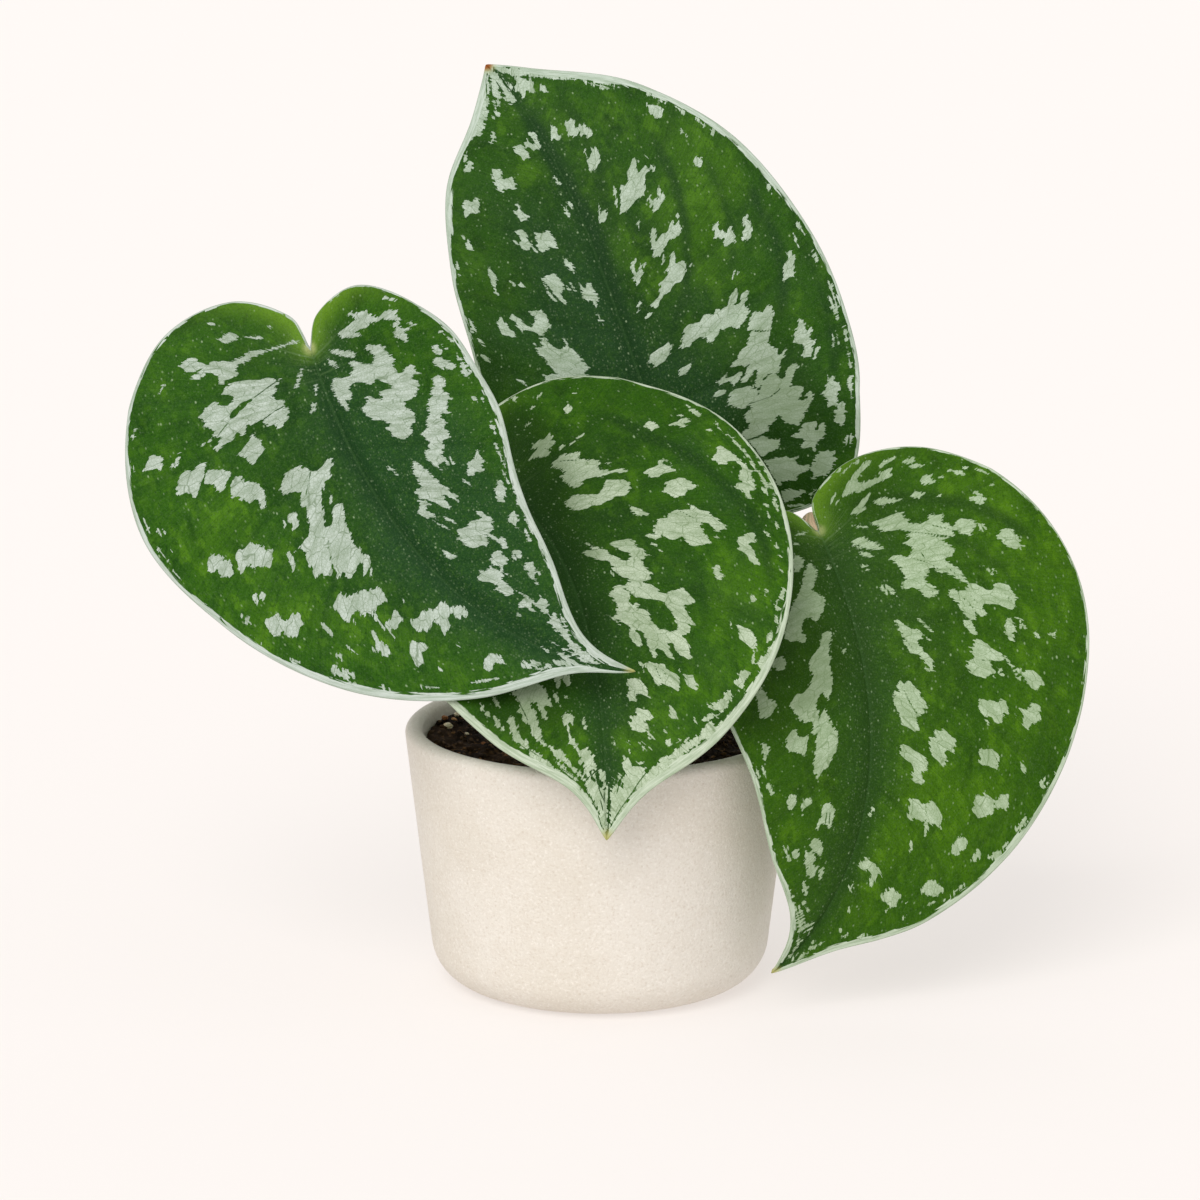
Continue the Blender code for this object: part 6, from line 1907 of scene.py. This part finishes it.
    corner = [
        (notch_t, rim_high, tw - 1), (notch_t, notch_b, rim_high), (notch_b, n_top + lw - 1, rim_high),
        (notch_t, 0, rim_low), (notch_t, rim_low, notch_b), (notch_b, rim_low, n_top),
        (tip_t, last + tw - 1, rim_high + e), (tip_t, rim_high + e, tip_b), (tip_b, rim_high + e, last_b + lw - 1),
        (tip_t, rim_low + e, last), (tip_t, tip_b, rim_low + e), (tip_b, last_b, rim_low + e)]
    faces = upper_quads.tolist() + rim_quads.tolist() + upper_tris + corner
    first_under = len(faces)
    faces += under_quads.tolist() + under_tris
    index = np.zeros(len(faces), np.int32)
    index[first_under:] = 1
    obj = new_object(name + "_blade", points, faces, materials, attributes, index)
    hand_in(obj, "blade_green", name)
    return obj


# ================================================================ pot, mix
SLOPE = math.atan(POT_FLARE)
LEAN = math.degrees(SLOPE)


def outer_radius(z):
    return POT_RADIUS_AT_BASE + POT_FLARE * z


def inner_radius(z, gap=0.0):
    return outer_radius(z) - (POT_WALL + gap) / math.cos(SLOPE)


INNER_FOOT = (inner_radius(POT_FLOOR + POT_INNER_ROUND, POT_INNER_ROUND), POT_FLOOR + POT_INNER_ROUND)


def turned(name, profile, steps, materials, wobble=0.0, seed=1):
    """A closed solid of revolution whose profile starts and ends on the axis."""
    profile = np.array(profile, float)
    ring = profile[1:-1]
    angle = np.arange(steps) * 2 * math.pi / steps
    z = ring[:, None, 1] + 0 * angle[None]
    around = angle[None] * 45 + 500
    push = wobble * (0.6 * lattice_noise(around + 0 * z, z + 300, 26.0, seed)
                     + 0.4 * lattice_noise(around + 0 * z, z + 300, 9.0, seed + 1))
    # The noise meets itself where the turn closes.
    seam = smoothstep(0.0, 0.6, angle) * (1 - smoothstep(2 * math.pi - 0.6, 2 * math.pi, angle))
    r = ring[:, None, 0] + push * seam[None]
    points = np.stack([r * np.cos(angle), r * np.sin(angle), z], 2).reshape(-1, 3)
    count = len(ring)
    k, s = np.meshgrid(np.arange(count - 1), np.arange(steps), indexing="ij")
    a, b = k * steps + s, k * steps + (s + 1) % steps
    quads = np.stack([a, b, b + steps, a + steps], 2).reshape(-1, 4).tolist()
    points = np.vstack([points, [(0, 0, profile[0, 1]), (0, 0, profile[-1, 1])]])
    first, last = len(points) - 2, len(points) - 1
    top = (count - 1) * steps
    faces = quads + [(first, (i + 1) % steps, i) for i in range(steps)] \
        + [(last, top + i, top + (i + 1) % steps) for i in range(steps)]
    return new_object(name, points, faces, materials)


def line(a, b, steps):
    return [tuple(np.array(a) + (np.array(b) - np.array(a)) * (i / steps)) for i in range(1, steps)]


def add_pot(material):
    foot = (inner_radius(POT_FOOT_ROUND, POT_FOOT_ROUND - POT_WALL), POT_FOOT_ROUND)
    lip = POT_WALL / 2
    lip_centre = (inner_radius(POT_HEIGHT - lip, -lip), POT_HEIGHT - lip)
    foot_arc = arc(foot, POT_FOOT_ROUND, -90, -LEAN, 18)
    lip_arc = arc(lip_centre, lip, -LEAN, 180 - LEAN, 22)
    inner_arc = arc(INNER_FOOT, POT_INNER_ROUND, -LEAN, -90, 12)
    profile = ([(0.0, 0.0)] + line((0.0, 0.0), foot_arc[0], 6) + foot_arc + line(foot_arc[-1], lip_arc[0], 22)
               + lip_arc + line(lip_arc[-1], inner_arc[0], 20) + inner_arc + line(inner_arc[-1], (0.0, POT_FLOOR), 5)
               + [(0.0, POT_FLOOR)])
    obj = turned("pot_wall", profile, 240, [material], wobble=0.12, seed=11)
    hand_in(obj, "pot_ceramic", "pot")


def soil_height(x, y):
    away = np.hypot(x - STEM_FOOT[0], y - STEM_FOOT[1])
    lumps = (np.sin(0.62 * x + 0.31 * y + 0.4) * np.cos(0.45 * y - 0.22 * x + 1.1)
             + 0.5 * np.sin(1.15 * x - 0.7 * y + 2.0))
    return SOIL_EDGE_HEIGHT + SOIL_MOUND * np.exp(-(away / 22.0) ** 2) + SOIL_LUMPS * lumps


def crumbly(x, y):
    """The mix's surface with its crumbs, mm."""
    left_bank = 1.1 * np.exp(-(((x + 38.0) / 9.0) ** 2 + ((y - 14.0) / 14.0) ** 2))
    return (soil_height(x, y) + left_bank + 0.42 * lattice_noise(x + 400, y + 400, 2.6, 31)
            + 0.30 * lattice_noise(x + 400, y + 400, 1.2, 32) + 0.18 * lattice_noise(x + 400, y + 400, 0.6, 33))


def icosphere(level):
    shape = bmesh.new()
    bmesh.ops.create_icosphere(shape, subdivisions=level, radius=1.0)
    points = np.array([v.co[:] for v in shape.verts])
    faces = [[v.index for v in f.verts] for f in shape.faces]
    shape.free()
    return points, faces


def add_mix(material):
    """The body of mix with its crumbly top, and loose crumbs and fibres lying on it."""
    edge = inner_radius(SOIL_EDGE_HEIGHT, GAP)
    steps, rings = 360, 84
    angle = np.arange(steps) * 2 * math.pi / steps
    radius = edge * (1 - (np.arange(rings) / rings) ** 0.92)
    x, y = radius[:, None] * np.cos(angle), radius[:, None] * np.sin(angle)
    z = crumbly(x, y)
    fall = smoothstep(edge - 1.2, edge, np.hypot(x, y))
    z = z - (0.5 + 0.25 * lattice_noise(x + 90, y + 90, 1.6, 35)) * fall
    body = [(0.0, POT_FLOOR + GAP)] + arc(INNER_FOOT, POT_INNER_ROUND - GAP, -90, -LEAN, 6) \
        + [(inner_radius(h, GAP), h) for h in (24.0, 36.0, 48.0, 58.0)]
    body = np.array(body[1:])
    lower = np.stack([body[:, None, 0] * np.cos(angle), body[:, None, 0] * np.sin(angle),
                      body[:, None, 1] + 0 * angle], 2)
    upper = np.stack([x, y, z], 2)
    rows = np.concatenate([lower, upper])
    points = rows.reshape(-1, 3)
    k, s = np.meshgrid(np.arange(len(rows) - 1), np.arange(steps), indexing="ij")
    a, b = k * steps + s, k * steps + (s + 1) % steps
    faces = np.stack([a, b, b + steps, a + steps], 2).reshape(-1, 4).tolist()
    points = np.vstack([points, [(0, 0, POT_FLOOR + GAP), (0, 0, float(crumbly(np.array(0.0), np.array(0.0))))]])
    first, last = len(points) - 2, len(points) - 1
    top = (len(rows) - 1) * steps
    faces += [(first, (i + 1) % steps, i) for i in range(steps)] + [(last, top + i, top + (i + 1) % steps) for i in range(steps)]
    tone = np.clip(0.35 + 0.5 * lattice_noise(points[:, 0] + 700, points[:, 1] + 700, 1.4, 36), 0, 0.7)

    rng = np.random.default_rng(37)
    ball, ball_faces = icosphere(2)
    all_points, all_faces, all_tone = [points], faces, [tone]
    count = len(points)
    for _ in range(760):
        r, turn = (edge - 1.6) * math.sqrt(rng.random()), rng.uniform(0, 2 * math.pi)
        cx, cy = r * math.cos(turn), r * math.sin(turn)
        size = 0.28 + 0.95 * rng.random() ** 2.6
        shape = ball * (1 + 0.22 * np.sin(ball @ rng.uniform(-4, 4, (3, 3)) + rng.uniform(0, 6, 3)).mean(1, keepdims=True))
        shape = shape * (size * rng.uniform(0.7, 1.3), size * rng.uniform(0.6, 1.1), size * rng.uniform(0.4, 0.8))
        spin = Matrix.Rotation(rng.uniform(0, 6.28), 3, "Z") @ Matrix.Rotation(rng.uniform(-0.5, 0.5), 3, "X")
        shape = shape @ np.array([list(v) for v in spin]).T
        shape = shape + (cx, cy, float(crumbly(np.array(cx), np.array(cy))) + size * 0.18)
        shade = rng.random()
        all_points.append(shape)
        all_faces += [[v + count for v in f] for f in ball_faces]
        all_tone.append(np.full(len(ball), shade * 0.9 if shade < 0.985 else 1.0))
        count += len(ball)
    # Short root and coir fibres.
    for _ in range(110):
        r, turn = (edge - 3.0) * math.sqrt(rng.random()), rng.uniform(0, 2 * math.pi)
        start = np.array([r * math.cos(turn), r * math.sin(turn)])
        heading, reach = rng.uniform(0, 2 * math.pi), rng.uniform(1.5, 6.0)
        n = 8
        path, here = [], start.copy()
        for step in range(n):
            heading += rng.uniform(-0.5, 0.5)
            path.append((*here, float(crumbly(here[0], here[1])) + 0.25))
            here = here + np.array([math.cos(heading), math.sin(heading)]) * reach / n
            if np.hypot(*here) > edge - 1.5:
                here *= 0.98
        path = np.array(path)
        side = np.cross(np.gradient(path, axis=0), (0, 0, 1))
        side /= np.linalg.norm(side, axis=1, keepdims=True)
        thick = rng.uniform(0.06, 0.14)
        tube = np.concatenate([path + side * thick, path + (0, 0, thick), path - side * thick, path - (0, 0, thick)])
        f = []
        for q in range(4):
            for k in range(n - 1):
                a, b = q * n + k, ((q + 1) % 4) * n + k
                f.append([a + count, a + 1 + count, b + 1 + count, b + count])
        all_points.append(tube)
        all_faces += f
        all_tone.append(np.full(len(tube), rng.uniform(0.6, 0.9)))
        count += len(tube)
    obj = new_object("potting_mix", np.vstack(all_points), all_faces, [material], {"tone": np.concatenate(all_tone)})
    hand_in(obj, "potting_mix", "soil")


# ================================================================ vine and stalks
def tube(name, path, radii, sides, materials, relief_of, seed):
    """A rod with rounded ends whose surface is pushed in and out by relief_of(angle, run)."""
    path, radii = np.asarray(path, float), np.asarray(radii, float)
    run = np.concatenate([[0.0], np.cumsum(np.linalg.norm(np.diff(path, axis=0), axis=1))])
    tangent = np.gradient(path, axis=0)
    tangent /= np.linalg.norm(tangent, axis=1, keepdims=True)
    up = np.cross(tangent[0], (1.0, 0.3, 0.2))
    up /= np.linalg.norm(up)
    frames = []
    for t in tangent:
        up = up - t * (up @ t)
        up /= np.linalg.norm(up)
        frames.append((up.copy(), np.cross(t, up)))
    angle = np.arange(sides) * 2 * math.pi / sides
    ends = np.minimum(run, run[-1] - run)
    close = np.sqrt(np.clip(1 - np.clip(1 - ends / np.maximum(radii, 0.3), 0, 1) ** 2, 0.0, 1.0))
    rings = []
    for k in range(1, len(path) - 1):
        r = radii[k] * max(close[k], 0.06) * (1 + relief_of(angle, run[k], run[-1]))
        rings.append(path[k] + r[:, None] * (np.cos(angle)[:, None] * frames[k][0] + np.sin(angle)[:, None] * frames[k][1]))
    points = np.vstack([*rings, path[:1], path[-1:]])
    count = len(rings)
    k, s = np.meshgrid(np.arange(count - 1), np.arange(sides), indexing="ij")
    a, b = k * sides + s, k * sides + (s + 1) % sides
    faces = np.stack([a, b, b + sides, a + sides], 2).reshape(-1, 4).tolist()
    first, last = len(points) - 2, len(points) - 1
    top = (count - 1) * sides
    faces += [(first, (i + 1) % sides, i) for i in range(sides)] + [(last, top + i, top + (i + 1) % sides) for i in range(sides)]
    along = np.concatenate([np.repeat(run[1:-1], sides), [run[0], run[-1]]])
    turn = np.concatenate([np.tile(angle, count), [0.0, 0.0]])
    attributes = {"run": np.stack([along, np.cos(turn) * 2.2, np.sin(turn) * 2.2 + seed * 9.1], 1),
                  "along": along / run[-1]}
    return new_object(name, points, faces, materials, attributes)


def add_stem(material):
    foot = [(*STEM_FOOT, STEM_BOTTOM), (*STEM_FOOT, 58.0), (*STEM_FOOT, 67.0)]
    path = even_steps(smooth_curve(foot + list(STEM_NODES) + [STEM_TIP], 14), 260)
    share = np.linspace(0.0, 1.0, len(path))
    radius = STEM_RADIUS * (1 - 0.28 * share)
    scars = []
    for node in STEM_NODES:
        away = np.linalg.norm(path - np.array(node), axis=1)
        radius += STEM_NODE_SWELL * np.exp(-(away / 2.2) ** 2)
        scars.append(away.argmin())
    for scar in scars:
        # A ring scar above each node where the old sheath was.
        d = np.arange(len(path)) - scar - 7
        radius -= 0.16 * np.exp(-(d / 1.6) ** 2)
        radius += 0.10 * np.exp(-((d - 3) / 1.6) ** 2)
    radius *= np.sqrt(np.clip((1.04 - share) / 0.12, 0.0, 1.0))

    def ridges(angle, run, whole):
        return 0.035 * np.sin(7 * angle + run * 0.05) + 0.02 * np.sin(13 * angle - run * 0.11) \
            + 0.015 * np.sin(3 * angle + run * 0.9)
    obj = tube("vine_stem", path, radius, 40, [material], ridges, 1)
    hand_in(obj, "vine_green", "stem")


def add_stalk(name, stalk, material, seed):
    leaf = LEAVES[stalk["leaf"]]
    turn = blade_turn(leaf)
    along, face = turn[:, 1], turn[:, 2]
    meet = np.array(leaf["joint"]) + along * stalk["along"] - face * stalk["lift_off"]
    away = -along * stalk["lie"] - face * (1 - stalk["lie"])
    node = np.array(STEM_NODES[stalk["node"]])
    out = (np.array(stalk["via"][0]) - node) * (1, 1, 0)
    out /= np.linalg.norm(out)
    start = node + out * (STEM_RADIUS + STEM_NODE_SWELL + GAP + 0.15)
    points = [start, start + out * 3.0 + (0, 0, 1.0), *stalk["via"], meet + away * 5.0, meet]
    path = even_steps(smooth_curve(points, 10), 200)
    share = np.linspace(0.0, 1.0, len(path))
    radius = STALK_RADIUS * (1 + 0.35 * np.exp(-(share / 0.25) ** 2) + 0.12 * np.exp(-((share - 0.93) / 0.06) ** 2))
    radius *= 1 - 0.05 * np.exp(-((share - 0.865) / 0.008) ** 2)

    def ridges(angle, run, whole):
        s = run / whole
        wrap = np.angle(np.exp(1j * (angle - 1.2)))
        channel = -0.16 * np.exp(-(wrap / 0.42) ** 2) * (1 - 0.75 * smoothstep(0.82, 0.90, np.array(s)))
        joint_rings = 0.012 * np.sin(run * 7.5) * smoothstep(0.86, 0.90, np.array(s))
        return channel + joint_rings + 0.020 * np.sin(9 * angle + run * 0.06) + 0.012 * np.sin(4 * angle - run * 0.25)
    obj = tube(name + "_stalk", path, radius, 36, [material], ridges, seed)
    hand_in(obj, "stalk_green", name)


def add_grain(name, material, slot, seed):
    """A pitted lump where the CAD's grain lies."""
    low, high = (np.array(v) * 1000 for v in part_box(name))
    centre, half = (low + high) / 2, (high - low) / 2
    points, faces = icosphere(5)
    rng = np.random.default_rng(seed)
    push = np.zeros(len(points))
    for scale, strength in ((1.6, 0.16), (3.4, 0.09), (7.5, 0.05), (15.0, 0.025)):
        waves = points @ rng.uniform(-scale, scale, (3, 5)) + rng.uniform(0, 6.28, 5)
        push += strength * np.sin(waves).mean(1) * 1.6
    for _ in range(26):
        spot = rng.normal(size=3)
        spot /= np.linalg.norm(spot)
        push -= 0.07 * np.exp(-(np.linalg.norm(points - spot, axis=1) / rng.uniform(0.10, 0.24)) ** 2)
    shape = points * (1 + push)[:, None]
    shape = (shape - (shape.max(0) + shape.min(0)) / 2) / ((shape.max(0) - shape.min(0)) / 2) * half + centre
    # Grains rest on the mix; the CAD leaves a hair's gap under them.
    ground = float(crumbly(centre[0], centre[1]))
    shape[:, 2] += ground - shape[:, 2].min() - 0.15 * half[2]
    obj = new_object(name + "_detail", shape, faces, [material])
    hand_in(obj, slot, name)


# ================================================================ stage
FLOOR_COLOUR = (0.410, 0.394, 0.386)
FLOOR_GLOW = (0.541, 0.508, 0.487)
SUN_STRENGTH = 1.75
SUN_ANGLE = 40.0
SUN_TURN = (50.0, 0.0, -21.0)
WORLD_STRENGTH = 0.76
WORLD_COLOUR = (1.0, 1.0, 1.0)


def add_stage():
    floor = new_object("studio_floor", np.array([(-12000, -12000, 0), (12000, -12000, 0), (12000, 12000, 0), (-12000, 12000, 0)]),
                       [(0, 1, 2, 3)], [floor_material()])
    world = bpy.data.worlds.new("studio")
    bpy.context.scene.world = world
    world.use_nodes = True
    sky = world.node_tree.nodes["Background"]
    sky.inputs["Color"].default_value = (*WORLD_COLOUR, 1.0)
    sky.inputs["Strength"].default_value = WORLD_STRENGTH
    light = bpy.data.lights.new("key", "SUN")
    light.energy = SUN_STRENGTH
    light.angle = math.radians(SUN_ANGLE)
    light.color = (1.0, 0.985, 0.96)
    key = bpy.data.objects.new("key", light)
    key.rotation_euler = [math.radians(v) for v in SUN_TURN]
    bpy.context.scene.collection.objects.link(key)

    lens = bpy.data.cameras.new("camera")
    lens.lens = CAMERA_LENS
    lens.sensor_width = 36.0
    lens.clip_start, lens.clip_end = 0.05, 100.0
    camera = bpy.data.objects.new("camera", lens)
    camera.location = CAMERA_PLACE
    camera.rotation_euler = (math.radians(90 - CAMERA_TILT), 0.0, 0.0)
    bpy.context.scene.collection.objects.link(camera)
    bpy.context.scene.camera = camera
    bpy.context.scene.view_settings.view_transform = "Standard"
    bpy.context.scene.view_settings.look = "None"


# ================================================================ build
add_stage()
under = blade_under()
for leaf_name, leaf_seed, vein_count in (("leaf_left", 3, 8), ("leaf_top", 5, 8), ("leaf_middle", 8, 8), ("leaf_right", 13, 8)):
    add_blade(leaf_name, leaf_seed, vein_count, [blade_upper(leaf_name), under])
add_pot(pot_ceramic())
add_mix(mix_material())
add_stem(stalk_material("vine_skin", (0.150, 0.210, 0.060), (0.300, 0.270, 0.130), (0.085, 0.125, 0.035)))
STALK_LOOK = stalk_material("stalk_skin", (0.165, 0.240, 0.070), (0.620, 0.440, 0.290), (0.110, 0.170, 0.045))
for stalk_seed, (stalk_name, stalk_facts) in enumerate(STALKS.items(), start=2):
    add_stalk(stalk_name, stalk_facts, STALK_LOOK, stalk_seed)
PERLITE = grain_material("perlite_grain", (0.78, 0.57, 0.36), (0.98, 0.84, 0.62), (0.99, 0.95, 0.86))
BARK = grain_material("bark_chip", (0.10, 0.035, 0.012), (0.34, 0.13, 0.045), (0.52, 0.24, 0.10))
for number, grain_name in enumerate(("perlite_grain_1", "perlite_grain_2", "perlite_grain_3")):
    add_grain(grain_name, PERLITE, "perlite", 60 + number)
for number, grain_name in enumerate(("bark_chip_1", "bark_chip_2")):
    add_grain(grain_name, BARK, "bark", 70 + number)
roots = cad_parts["root_ball"]
roots.data.materials.clear()
roots.data.materials.append(root_material())
